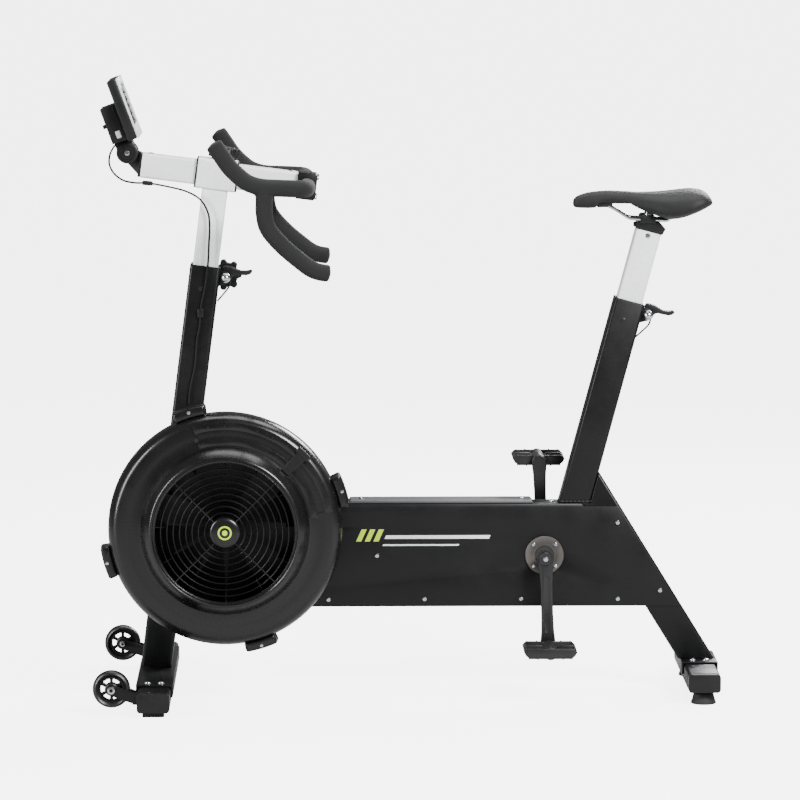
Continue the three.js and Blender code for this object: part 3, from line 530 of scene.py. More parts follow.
    @staticmethod
    def sweep(
        name: str, route: list[Point], radius: float, sides: int = 12, steps: int = 8,
        ends: float = 0.0,
    ) -> bpy.types.Object:
        """Makes a round bar along a smooth curve through points.

        Args:
            name: The piece's name.
            route: The points in millimetres.
            radius: The bar's radius in millimetres.
            sides: Faces round the bar.
            steps: Points added between two of the route's.
            ends: How far from each end the bar rounds over, in millimetres.

        Returns:
            The new piece.
        """
        line = smooth_line([Vector(p) * MM for p in route], steps)
        Bench.clear()
        bpy.ops.curve.primitive_nurbs_path_add()
        holder = bpy.context.object
        holder.matrix_world = Matrix()
        curve = holder.data
        curve.splines.clear()
        spline = curve.splines.new("POLY")
        spline.points.add(len(line) - 1)
        length = [0.0]
        for a, b in zip(line, line[1:]):
            length.append(length[-1] + (b - a).length)
        for point, at, gone in zip(spline.points, line, length):
            point.co = (*at, 1)
            near = min(gone, length[-1] - gone)
            point.radius = 1.0
            if ends and near < mm(ends):
                point.radius = max(0.05, math.sqrt(1 - (1 - near / mm(ends)) ** 2))
        curve.dimensions = "3D"
        curve.bevel_depth = mm(radius)
        curve.bevel_resolution = max(0, sides // 4 - 1)
        curve.use_fill_caps = True
        Bench.hold(holder)
        bpy.ops.object.convert(target="MESH")
        piece = bpy.context.object
        piece.name = name
        Bench.clean(piece)
        return Bench.smooth(piece, 50)

    @staticmethod
    def square_tube(name: str, start: Pair, end: Pair, section: Section) -> bpy.types.Object:
        """Makes a square tube in the middle plane, with a hollow mouth at its far end.

        Args:
            name: The piece's name.
            start: X and Z of its near end in millimetres.
            end: X and Z of its far end in millimetres.
            section: Its width, corners and wall.

        Returns:
            The new piece.
        """
        a, b = (Vector((x, 0, z)) for x, z in (start, end))
        run = b - a
        Bench.clear()
        bpy.ops.mesh.primitive_cube_add(size=1)
        piece = bpy.context.object
        piece.name = name
        piece.scale = (mm(section.width), mm(section.width), mm(run.length))
        Bench.settle(piece)
        Bench.select(
            piece,
            edges=lambda p, q: abs(p.x - q.x) < SAME_PLACE and abs(p.y - q.y) < SAME_PLACE,
        )
        bpy.ops.mesh.bevel(offset=mm(section.corner), segments=6, affect="EDGES")
        bpy.ops.object.mode_set(mode="OBJECT")
        Bench.select(piece, faces=lambda f: f.normal.z > 0.9)
        bpy.ops.mesh.inset(thickness=mm(section.wall))
        bpy.ops.mesh.extrude_region_move(TRANSFORM_OT_translate={"value": (0, 0, -mm(MOUTH_DEPTH))})
        bpy.ops.object.mode_set(mode="OBJECT")
        piece.data.transform(Matrix.Translation((0, 0, mm(run.length) / 2)))
        Bench.round_edges(piece, 0.7, 2, 60)
        turn = Vector((0, 0, 1)).rotation_difference(run.normalized()).to_matrix().to_4x4()
        piece.data.transform(Matrix.Translation(a * MM) @ turn)
        return piece

    @staticmethod
    def select(
        piece: bpy.types.Object, edges: Callable | None = None, faces: Callable | None = None
    ) -> None:
        """Enters edit mode with the edges or faces that pass a test selected.

        Args:
            piece: The piece to edit.
            edges: A test of an edge's two points, or None.
            faces: A test of a face, or None.
        """
        Bench.hold(piece)
        mesh = piece.data
        for part in (mesh.vertices, mesh.edges, mesh.polygons):
            for item in part:
                item.select = False
        if edges:
            for edge in mesh.edges:
                edge.select = edges(*(mesh.vertices[i].co for i in edge.vertices))
        if faces:
            for face in mesh.polygons:
                face.select = faces(face)
        bpy.context.tool_settings.mesh_select_mode = (False, bool(edges), not edges)
        bpy.ops.object.mode_set(mode="EDIT")

    @staticmethod
    def cut(piece: bpy.types.Object, cutters: list[bpy.types.Object]) -> bpy.types.Object:
        """Cuts pieces away from a piece and removes them."""
        for cutter in cutters:
            Bench.apply(piece, "BOOLEAN", operation="DIFFERENCE", object=cutter, solver="EXACT")
            bpy.data.objects.remove(cutter, do_unlink=True)
        return piece

    @staticmethod
    def dress(
        piece: bpy.types.Object, finish: Finish, body: str, *nodes: str
    ) -> bpy.types.Object:
        """Gives a piece its finish and body, and hides the CAD nodes that it stands for.

        Args:
            piece: The finished piece.
            finish: Its finish.
            body: The CAD body that it rides on.
            *nodes: The CAD nodes that it replaces.

        Returns:
            The same piece.
        """
        piece.data.materials.clear()
        piece.data.materials.append(finish.material())
        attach(piece, body)
        if nodes:
            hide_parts(*nodes)
        LOG.info("%s: %d faces on %s", piece.name, len(piece.data.polygons), body)
        return piece

    @staticmethod
    def skin(node: str, radius: float, finish: Finish, body: str) -> None:
        """Rounds a copy of a CAD node and dresses it in that node's place."""
        Bench.dress(Bench.from_node(node, node + "_skin", radius), finish, body, node)


def smooth_line(points: list[Vector], steps: int) -> list[Vector]:
    """Returns a Catmull-Rom line through points, with steps between each two."""
    line = []
    padded = [2 * points[0] - points[1], *points, 2 * points[-1] - points[-2]]
    for a, b, c, d in zip(padded, padded[1:], padded[2:], padded[3:]):
        for i in range(steps):
            t = i / steps
            line.append(0.5 * (2 * b + (c - a) * t + (2 * a - 5 * b + 4 * c - d) * t * t
                               + (3 * b - a - 3 * c + d) * t * t * t))
    return [*line, points[-1]]


def leaning(origin: Pair, lean: float) -> Place:
    """Returns the function that places a point of a leaning part.

    Args:
        origin: X and Z of the part's own origin, in millimetres.
        lean: Degrees that its up axis leans towards +X.

    Returns:
        A function from millimetres along +X and up to X and Z.
    """
    c, s = math.cos(math.radians(lean)), math.sin(math.radians(lean))
    return lambda along, up: (origin[0] + along * c + up * s, origin[1] - along * s + up * c)


def leaning_block(
    name: str, place: Place, along: Pair, up: Pair, across: Pair, radius: float = 0.0
) -> bpy.types.Object:
    """Makes a block that leans with its part.

    Args:
        name: The piece's name.
        place: The part's function, from leaning().
        along: Where it starts and ends along the part's +X, in millimetres.
        up: Its lowest and highest places.
        across: Its near and far Y.
        radius: The rounding of its edges.

    Returns:
        The new piece.
    """
    (a0, a1), (u0, u1) = along, up
    outline = [place(a0, u0), place(a1, u0), place(a1, u1), place(a0, u1)]
    return Bench.prism(name, outline, *across, radius)


def flip(profile: list[Pair], sign: float) -> list[Pair]:
    """Returns a lathe profile that points along its axis for 1, or against it for -1."""
    return [(radius, sign * along) for radius, along in profile]


def arc(centre: Pair, radius: float, start: float, end: float, steps: int) -> list[Pair]:
    """Returns points on an arc in X and Z, in millimetres, by its angles in degrees."""
    angles = [math.radians(start + (end - start) * i / steps) for i in range(steps + 1)]
    return [(centre[0] + radius * math.cos(a), centre[1] + radius * math.sin(a)) for a in angles]


def sector(centre: Pair, inner: float, outer: float, start: float, end: float,
           steps: int) -> list[Pair]:
    """Returns the outline of a ring's sector in X and Z, in millimetres."""
    return [*arc(centre, outer, start, end, steps), *arc(centre, inner, end, start, steps)]


@dataclass
class Screw:
    """A pan-head screw with a hexagon socket, its head along an axis.

    Attributes:
        radius: The head's radius in millimetres.
        height: The head's height in millimetres.
    """

    radius: float = 4.6
    height: float = 2.6

    def head(self, at: Point, axis: str = "Y", sign: float = -1.0) -> bpy.types.Object:
        """Makes one head.

        Args:
            at: The middle of its seat in millimetres.
            axis: The axis that it points along.
            sign: 1 or -1, the way that it points.

        Returns:
            The head as a loose piece.
        """
        r, h = self.radius, self.height
        profile = [(0, h * 0.35), (r * 0.42, h * 0.35), (r * 0.46, h), (r * 0.6, h),
                   (r * 0.86, h * 0.82),
                   (r, h * 0.35), (r, -0.6), (0, -0.6)]
        return Bench.lathe("screw", flip(profile, sign), at, axis, 20)

    def row(self, name: str, places: list[Point], body: str, axis: str = "Y",
            sign: float = -1.0) -> None:
        """Makes a set of heads as one piece of zinc-plated steel."""
        heads = [self.head(at, axis, sign) for at in places]
        Bench.dress(Bench.join(name, heads), Finishes.ZINC, body)


@dataclass(frozen=True)
class Section:
    """A square tube's section.

    Attributes:
        width: Its outer width in millimetres.
        corner: The radius of its corners.
        wall: Its wall.
    """

    width: float
    corner: float
    wall: float


MAST = Section(60, 6.5, 3)
POST = Section(50, 5.5, 2.5)
SLEEVE = Section(60, 6, 4)
STEM = Section(48, 5, 2.5)
POST_INSERTION = 270


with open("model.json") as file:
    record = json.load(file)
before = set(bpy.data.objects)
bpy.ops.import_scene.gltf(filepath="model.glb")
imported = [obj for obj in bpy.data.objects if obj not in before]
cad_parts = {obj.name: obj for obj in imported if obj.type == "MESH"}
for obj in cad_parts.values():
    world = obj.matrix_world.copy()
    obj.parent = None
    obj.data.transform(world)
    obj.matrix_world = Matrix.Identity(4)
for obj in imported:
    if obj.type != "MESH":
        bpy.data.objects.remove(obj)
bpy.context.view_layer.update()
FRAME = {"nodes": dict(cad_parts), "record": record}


def middle(node: str) -> Vector:
    """Returns the middle of a CAD node's box in millimetres."""
    low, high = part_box(node)
    return (Vector(low) + Vector(high)) * 500


def joint_at(name: str) -> Vector:
    """Returns a hinge's place in millimetres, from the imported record."""
    joint = next(j for j in FRAME["record"]["behaviour"]["joints"] if j["name"] == name)
    return Vector(joint["pos_m"]) * 1000


# ---- Structure -----------------------------------------------------------------------------------


@dataclass
class Upright:
    """A leaning square mast that an inner post slides in.

    Attributes:
        node: The CAD node that it stands for.
        top: X and Z of its mouth in millimetres.
        lean: Degrees that it leans towards +X.
        foot: The height where it starts in millimetres.
        plug_up: Where its blind hole's plug is, below the mouth.
        section: Its tube's section.
        liner_half: Half the width of the hole in its liner.
    """

    node: str
    top: Pair
    lean: float
    foot: float
    plug_up: float
    section: Section = MAST
    liner_half: float = 25.3

    def build(self) -> None:
        """Builds the tube, the liner in its mouth, the latch ears and the hole's plugs."""
        place = leaning(self.top, self.lean)
        slope = math.tan(math.radians(self.lean))
        start = (self.top[0] - (self.top[1] - self.foot) * slope, self.foot)
        name = self.node + "_tube"
        tube = Bench.square_tube(name, start, place(0, 0), self.section)
        ears = [self._ear(place, y0, y1) for y0, y1 in ((-19, -15), (15, 19))]
        Bench.dress(Bench.join(name, [tube, *ears]), Finishes.BLACK_COAT, "frame", self.node)
        self._liner(place)
        self._plug(place)

    def _ear(self, place: Place, y0: float, y1: float) -> bpy.types.Object:
        """Makes one ear that holds the latch, behind the mouth."""
        face = self.section.width / 2
        corners = ((-1, -3), (14, -5), (20, -10), (20, -22), (14, -28), (-1, -36))
        return Bench.prism("ear", [place(face + out, up) for out, up in corners], y0, y1, 1.0)

    def _liner(self, place: Place) -> None:
        """Builds the nylon liner whose lip stands on the mouth."""
        half, inner = self.section.width / 2 - 1.2, self.liner_half
        lip = leaning_block("lip", place, (-half, half), (-1, 1.8), (-half, half), 0.8)
        hole = leaning_block("hole", place, (-inner, inner), (-9, 9), (-inner, inner))
        Bench.cut(lip, [hole])
        Bench.smooth(lip)
        lip.name = self.node + "_liner"
        Bench.dress(lip, Finishes.NYLON, "frame")

    def _plug(self, place: Place) -> None:
        """Builds the push-in plugs of the blind hole on both sides."""
        x, z = place(-3, self.plug_up)
        half = self.section.width / 2
        profile = [(0, 1.1), (3, 1.1), (4.4, 0.5), (4.6, -0.4), (0, -0.4)]
        plugs = [
            Bench.lathe("plug", flip(profile, s), (x, s * half, z), "Y", 20) for s in (-1, 1)
        ]
        Bench.dress(Bench.join(self.node + "_plugs", plugs), Finishes.NYLON, "frame")


@dataclass
class Structure:
    """The welded frame: uprights, leg, beam, covers and feet.

    Attributes:
        panel_screws: X and Z of the screws in each side panel.
        panel_face: How far the panels' faces are from the middle.
        seat_foot: The seat mast's weld: its first and last X and its height.
        bolt_sunk: How far the foot brackets' bolts sit below the top.
        bolt_inset: How far those bolts are from the brackets' ends.
        bolt_pitch: Half the distance between two of those bolts.
    """

    panel_screws: tuple[Pair, ...] = (
        (-157, 187), (-61, 274.6), (33, 187.8), (224, 187.8), (414, 339.6), (415, 187.3),
        (498.5, 203.9),
    )
    panel_face: float = 33.8
    seat_foot: tuple[float, float, float] = (299, 364, 381)
    bolt_sunk: float = 3.4
    bolt_inset: float = 14
    bolt_pitch: float = 13

    def build(self) -> None:
        """Builds every fixed piece of the frame."""
        Upright("front_mast", (-397, 846), 7.25, 52.3, plug_up=-43).build()
        Upright("seat_mast", (436, 776), 15.0, 368, plug_up=-38).build()
        skins = (
            (Finishes.BLACK_COAT, 2.0, ("rear_leg",)),
            (Finishes.BLACK_COAT, 0.8, ("front_foot_tube", "rear_foot_tube")),
            (Finishes.BLACK_COAT, 1.2, ("front_foot_bracket", "rear_foot_bracket")),
            (Finishes.BLACK_COAT, 1.0, ("main_beam",)),
            (Finishes.BLACK_COAT, 0.7, ("left_side_panel", "right_side_panel")),
            (Finishes.GREY_PLASTIC, 2.0, ("top_cover",)),
            (Finishes.NYLON, 1.8, tuple(f"{end}_foot_cap_{side}" for end in ("front", "rear")
                                        for side, _ in SIDES)),
            (Finishes.RUBBER, 1.0, ("front_pad_left", "front_pad_right")),
        )
        for finish, radius, nodes in skins:
            for node in nodes:
                Bench.skin(node, radius, finish, "frame")
        self._fasteners()
        self._welds()
        self._decal()

    def _fasteners(self) -> None:
        """Builds the screws of the panels, the lid and the foot brackets."""
        for side, sign in SIDES:
            places = [(x, sign * self.panel_face, z) for x, z in self.panel_screws]
            Screw().row(side + "_panel_screws", places, "frame", "Y", sign)
        Screw(4.2, 2.4).row("lid_screws", [(284, 0, 377.2), (-92, 0, 384.2), (226, 0, 384.2)],
                            "frame", "Z", 1.0)
        for node in ("front_foot_bracket", "rear_foot_bracket"):
            low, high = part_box(node)
            x, top = 500 * (low[0] + high[0]), 1000 * high[2] - self.bolt_sunk
            ends = (1000 * low[1] + self.bolt_inset, 1000 * high[1] - self.bolt_inset)
            places = [(x + dx, y, top) for y in ends for dx in (-self.bolt_pitch, self.bolt_pitch)]
            Screw(6.6, 4.4).row(node + "_bolts", places, "frame", "Z", 1.0)

    def _welds(self) -> None:
        """Builds the weld beads on both sides of the seat mast's foot."""
        x0, x1, z = self.seat_foot
        beads = []
        for sign in (-1, 1):
            route = [(x0 + (x1 - x0) * i / 16, sign * 30.4, z + (0.5 if i % 2 else -0.4))
                     for i in range(17)]
            beads.append(Bench.sweep("bead", route, 1.9, 8, 2, 2))
        Bench.dress(Bench.join("seat_mast_welds", beads), Finishes.BLACK_COAT, "frame")

    def _decal(self) -> None:
        """Builds the plain stripe graphic: three lime slashes and two pale bars on each panel."""
        for side, sign in SIDES:
            y = sign * (self.panel_face + 0.14)
            slashes = [self._slash(-102 + 17 * i, 303, 10, 24, y, sign) for i in range(3)]
            Bench.dress(Bench.join(side + "_stripes", slashes), Finishes.LIME, "frame")
            bars = [self._slash(-46, 308, 206, 7, y, sign),
                    self._slash(-50, 294, 150, 3.2, y, sign)]
            Bench.dress(Bench.join(side + "_bars", bars), Finishes.WHITE_FILM, "frame")

    def _slash(
        self, x: float, z: float, width: float, height: float, y: float, sign: float
    ) -> bpy.types.Object:
        """Makes one slanted strip of film, its lower left corner at x and z."""
        lean = height * 0.45
        outline = [(x, z), (x + width, z), (x + width + lean, z + height), (x + lean, z + height)]
        return Bench.prism("slash", outline, y, y - sign * 0.2)


@dataclass
class Castors:
    """The transport wheels at the front and the levelling feet at the back.

    Attributes:
        radius: A wheel's radius in millimetres.
        half: Half a wheel's width in millimetres.
        spokes: How many windows a hub has.
    """

    radius: float = 36.5
    half: float = 12.0
    spokes: int = 6

    def build(self) -> None:
        """Builds both wheels and both levelling feet."""
        for side in ("left", "right"):
            self._wheel(side)
            self._foot(side)

    def _wheel(self, side: str) -> None:
        """Builds one wheel: its tyre, its windowed hub, its bearings and its axle bolt."""
        node, body = "transport_wheel_" + side, side + "_wheel"
        r, h, axle = self.radius, self.half, joint_at(side + "_wheel_spin")
        at = (axle.x, middle(node).y, axle.z)
        flank = [(25, h - 5), (27.5, h - 2), (30.5, h), (33, h - 1.2), (35.2, h - 4.2),
                 (36.3, h - 8)]
        outline = [*flank, (r, 0), *reversed(flip(flank, -1))]
        tyre = Bench.lathe(node + "_tyre", outline, at, "Y", 64, True)
        Bench.dress(tyre, Finishes.TYRE, body, node)
        rim = Bench.lathe("rim",
                          [(25.2, -6.5), (25.2, 6.5), (22.5, 7.5), (21, 6), (21, -6), (22.5, -7.5)],
                          at, "Y", 64, True)
        boss = Bench.lathe("boss",
                           [(9.5, -10.5), (12.2, -9), (13, -6), (13, 6), (12.2, 9), (9.5, 10.5)],
                           at, "Y", 40, True)
        arms = []
        for i in range(self.spokes):
            arm = Bench.prism("spoke", [(12, -2.6), (21.8, -3.4), (21.8, 3.4), (12, 2.6)], -4.6,
                              4.6, 1.1)
            turn = Matrix.Rotation(math.tau * (i + 0.5) / self.spokes, 4, "Y")
            arm.data.transform(Matrix.Translation(Vector(at) * MM) @ turn)
            arms.append(arm)
        Bench.dress(Bench.join(node + "_hub", [rim, boss, *arms]), Finishes.NYLON, body)
        race = [(4.8, 8), (9.4, 8), (9.4, 11.2), (8.2, 11.7), (6.2, 11.2), (4.8, 11.7)]
        bearings = [Bench.lathe("bearing", flip(race, s), at, "Y", 32, True) for s in (-1, 1)]
        Bench.dress(Bench.join(node + "_bearings", bearings), Finishes.STEEL, body)
        out = -1.0 if side == "left" else 1.0
        reach = h + 5.6
        Screw(8.2, 5.0).row(node + "_bolt", [(at[0], at[1] + out * reach, at[2])], "frame", "Y",
                            out)
        Screw(6.4, 4.0).row(node + "_nut", [(at[0], at[1] - out * reach, at[2])], "frame", "Y",
                            -out)

    def _foot(self, side: str) -> None:
        """Builds one levelling foot: a ribbed rubber cone on a zinc stud."""
        node, body = "levelling_foot_" + side, side + "_leveller"
        at = tuple(middle(node))
        base = (at[0], at[1], 0.0)
        cone = Bench.lathe(node + "_cone", [
            (0, 0), (23.5, 0), (24.8, 1), (24.6, 3.4), (22.8, 8), (21, 14), (20, 19.2), (19, 20.4),
            (8, 20.4), (0, 20.4)], base, "Z", 48)
        Bench.dress(cone, Finishes.RUBBER, body, node)
        rings = [(6 - (i % 2) * 0.7, 20 + i * 0.9) for i in range(14)]
        stud = Bench.lathe(node + "_stud", [(0, 20), *rings, (0, 33)], base, "Z", 24)
        Bench.dress(stud, Finishes.ZINC, body)


# ---- Fan -----------------------------------------------------------------------------------------


@dataclass
class Fan:
    """The caged fan: housing, grille, damper and the flywheel behind them.

    Attributes:
        rim: The housing's radius in millimetres.
        face: Y of the cone's front edge.
        dish: Y of the flat ring's face.
        parting: Y where the two shells meet.
        back: Y of the rear shell's back.
        grille: The grille's outer radius.
        hub: The hub cap's radius.
        rings: How many rings the grille has.
        lugs: The screw lugs' angles in degrees.
        damper: The damper handle's angle in degrees.
    """

    rim: float = 229.0
    face: float = -188.0
    dish: float = -158.0
    parting: float = -118.0
    back: float = -37.0
    grille: float = 141.5
    hub: float = 31.0
    rings: int = 9
    lugs: tuple[float, ...] = (18, 107, 196, 287)
    damper: float = 44.5

    def build(self) -> None:
        """Builds the whole fan."""
        hub = joint_at("flywheel_spin")
        self.at: Pair = (hub.x, hub.z)
        self.axis: Point = (hub.x, 0.0, hub.z)
        self._front()
        self._grille()
        self._rear()
        self._cover()
        self._handle()
        for node, finish in (("flywheel", Finishes.BLACK_COAT), ("flywheel_shaft", Finishes.STEEL)):
            Bench.skin(node, 0.6, finish, "flywheel_body")

    def _front(self) -> None:
        """Builds the front shell: its rolled rim, flat ring and raised cone."""
        r, d, f, p, g = self.rim, self.dish, self.face, self.parting - 0.3, self.grille
        shell = Bench.lathe("fan_front_shell", [
            (r - 1.4, p), (r - 0.6, p - 5), (r - 0.8, p - 14), (r - 2.6, p - 22), (r - 6, p - 29.5),
            (r - 10.5, p - 35), (r - 15.5, p - 38.6), (r - 21, d - 0.2), (r - 40, d), (168, d),
            (164.6, d - 1.2), (148, f + 2.2), (145, f + 0.3), (142.8, f), (g, f + 1), (g, f + 12),
            (g + 2.6, f + 12), (g + 2.6, f + 5), (165, d + 2.8), (r - 22, d + 2.8),
            (r - 13, p - 33),
            (r - 6, p - 24), (r - 4, p - 12), (r - 4, p)],
            self.axis, "Y", 160, True)
        Bench.dress(Bench.smooth(shell, 50), Finishes.HOUSING, "frame", "fan_housing_front")

    def _grille(self) -> None:
        """Builds the grille's rings, spokes and hub cap, and the lime ring on the cap."""
        y = self.face + 2
        pieces = [
            Bench.lathe("ring", [(r - 0.9, y + 0.8), (r, y), (r + 0.9, y + 0.8), (r + 1.4, y + 8),
                                 (r - 0.3, y + 8)], self.axis, "Y", 96, True)
            for r in (self.hub + 8 + i * 12.2 for i in range(self.rings))
        ]
        g, h = self.grille, self.hub
        pieces.append(Bench.lathe("ring", [(g - 4, y + 0.6), (g - 3, y), (g - 1, y), (g - 1, y + 9),
                                           (g - 4, y + 9)],
                                  self.axis, "Y", 128, True))
        pieces.append(Bench.lathe("cap",
                                  [(0, y - 3.6), (h - 9, y - 3.2), (h - 4, y - 2), (h - 1, y + 0.6),
                                          (h, y + 3), (h, y + 9), (0, y + 9)], self.axis, "Y", 64))
        for angle in DIAGONALS:
            bar = Bench.prism("spoke",
                              [(h - 2, -1.1), (g - 1.2, -1.1), (g - 1.2, 1.1), (h - 2, 1.1)],
                              y - 0.4, y + 8.6, 0.5)
            turn = Matrix.Rotation(-math.radians(angle), 4, "Y")
            bar.data.transform(Matrix.Translation(Vector(self.axis) * MM) @ turn)
            pieces.append(bar)
        Bench.dress(Bench.join("fan_grille_rings", pieces), Finishes.HOUSING, "frame", "fan_grille")
        mark = [Bench.lathe("mark",
                            [(10.4, y - 3.75), (13.6, y - 3.7), (13.6, y - 3.2), (10.4, y - 3.2)],
                            self.axis, "Y", 48, True),
                Bench.lathe("mark", [(0, y - 3.8), (5.2, y - 3.75), (5.2, y - 3.2), (0, y - 3.2)],
                            self.axis, "Y", 32)]
        Bench.dress(Bench.join("hub_mark", mark), Finishes.LIME, "frame")

    def _rear(self) -> None:
        """Builds the rear shell with its stepped lip, and its four screw lugs."""
        r, p, b = self.rim, self.parting, self.back
        drum = 217.0
        shell = Bench.lathe("rear", [
            (30, b - 3), (drum - 3, b - 3), (drum - 3, p + 6), (drum - 6, p + 6),
            (drum - 6, p + 0.2),
            (r - 0.8, p + 0.2), (r - 0.2, p + 1), (r - 0.2, p + 4.6), (r - 1.4, p + 6),
            (drum + 4, p + 6.4),
            (drum + 1.2, p + 7.6), (drum, p + 10), (drum, b - 8), (drum - 2.3, b - 2.3),
            (drum - 8, b), (30, b)],
            self.axis, "Y", 160, True)
        places, lugs = [], []
        for angle in self.lugs:
            lugs.append(Bench.prism("lug", sector(self.at, r - 6, 247, angle - 8, angle + 8, 8),
                                    p + 0.4, p + 26, 5, 4))
            lugs.append(Bench.prism("lug", sector(self.at, r - 2, 246.5, angle - 7.6, angle + 7.6,
                                                  8), p - 22, p + 4, 5, 4))
            x, z = arc(self.at, 239.5, angle, angle, 1)[0]
            places.append((x, p - 21.6, z))
        Bench.dress(Bench.join("fan_rear_shell", [shell, *lugs]), Finishes.HOUSING, "frame",
                    "fan_housing_rear")
        Screw(3.6, 2.0).row("fan_lug_screws", places, "frame")

    def _cover(self) -> None:
        """Builds the damper's cover: two raised bands, the slot between them and the ticks."""
        d = self.dish
        spans = (
            (197.5, 213, 10, 107, 60, 0.6), (167.5, 182.5, 8, 107, 60, 0.6),
            (182, 198, 106, 108.5, 6, 0.5), (182, 198, 8.5, 11, 6, 0.5),
        )
        bands = [
            Bench.prism("band", sector(self.at, *span), d - 1.6, d + 0.6, radius)
            for *span, radius in spans
        ]
        for i in range(10):
            angle = 18 + i * 9
            bands.append(Bench.prism("tick",
                                     sector(self.at, 203, 212, angle - 0.35, angle + 0.35, 1),
                                     d - 2.6, d - 1.2, 0.25))
        Bench.dress(Bench.join("damper_cover", bands), Finishes.HOUSING, "frame")

    def _handle(self) -> None:
        """Builds the damper's sliding handle with its grip ridges."""
        d, a = self.dish, self.damper
        bar = Bench.prism("bar", sector(self.at, 163, 217, a - 3.1, a + 3.1, 6), d - 6.6, d - 1.9,
                          1.2, 3)
        grip = Bench.prism("grip", sector(self.at, 208, 221, a - 4.2, a + 4.2, 6), d - 7.8, d - 1.9,
                           1.6, 3)
        ridges = [Bench.prism("ridge", sector(self.at, 168, 205, a + k - 0.3, a + k + 0.3, 1),
                              d - 7.6, d - 6.2, 0.3)
                  for k in (-1.7, 0, 1.7)]
        track = Bench.prism("damper_track", sector(self.at, 184, 196, 20, 100, 40), d + 0.7,
                            d + 2.4, 0.3)
        piece = Bench.join("damper_handle", [bar, grip, *ridges])
        Bench.dress(piece, Finishes.NYLON, "damper_body", "damper")
        Bench.dress(track, Finishes.NYLON, "frame")


# ---- Drive ---------------------------------------------------------------------------------------


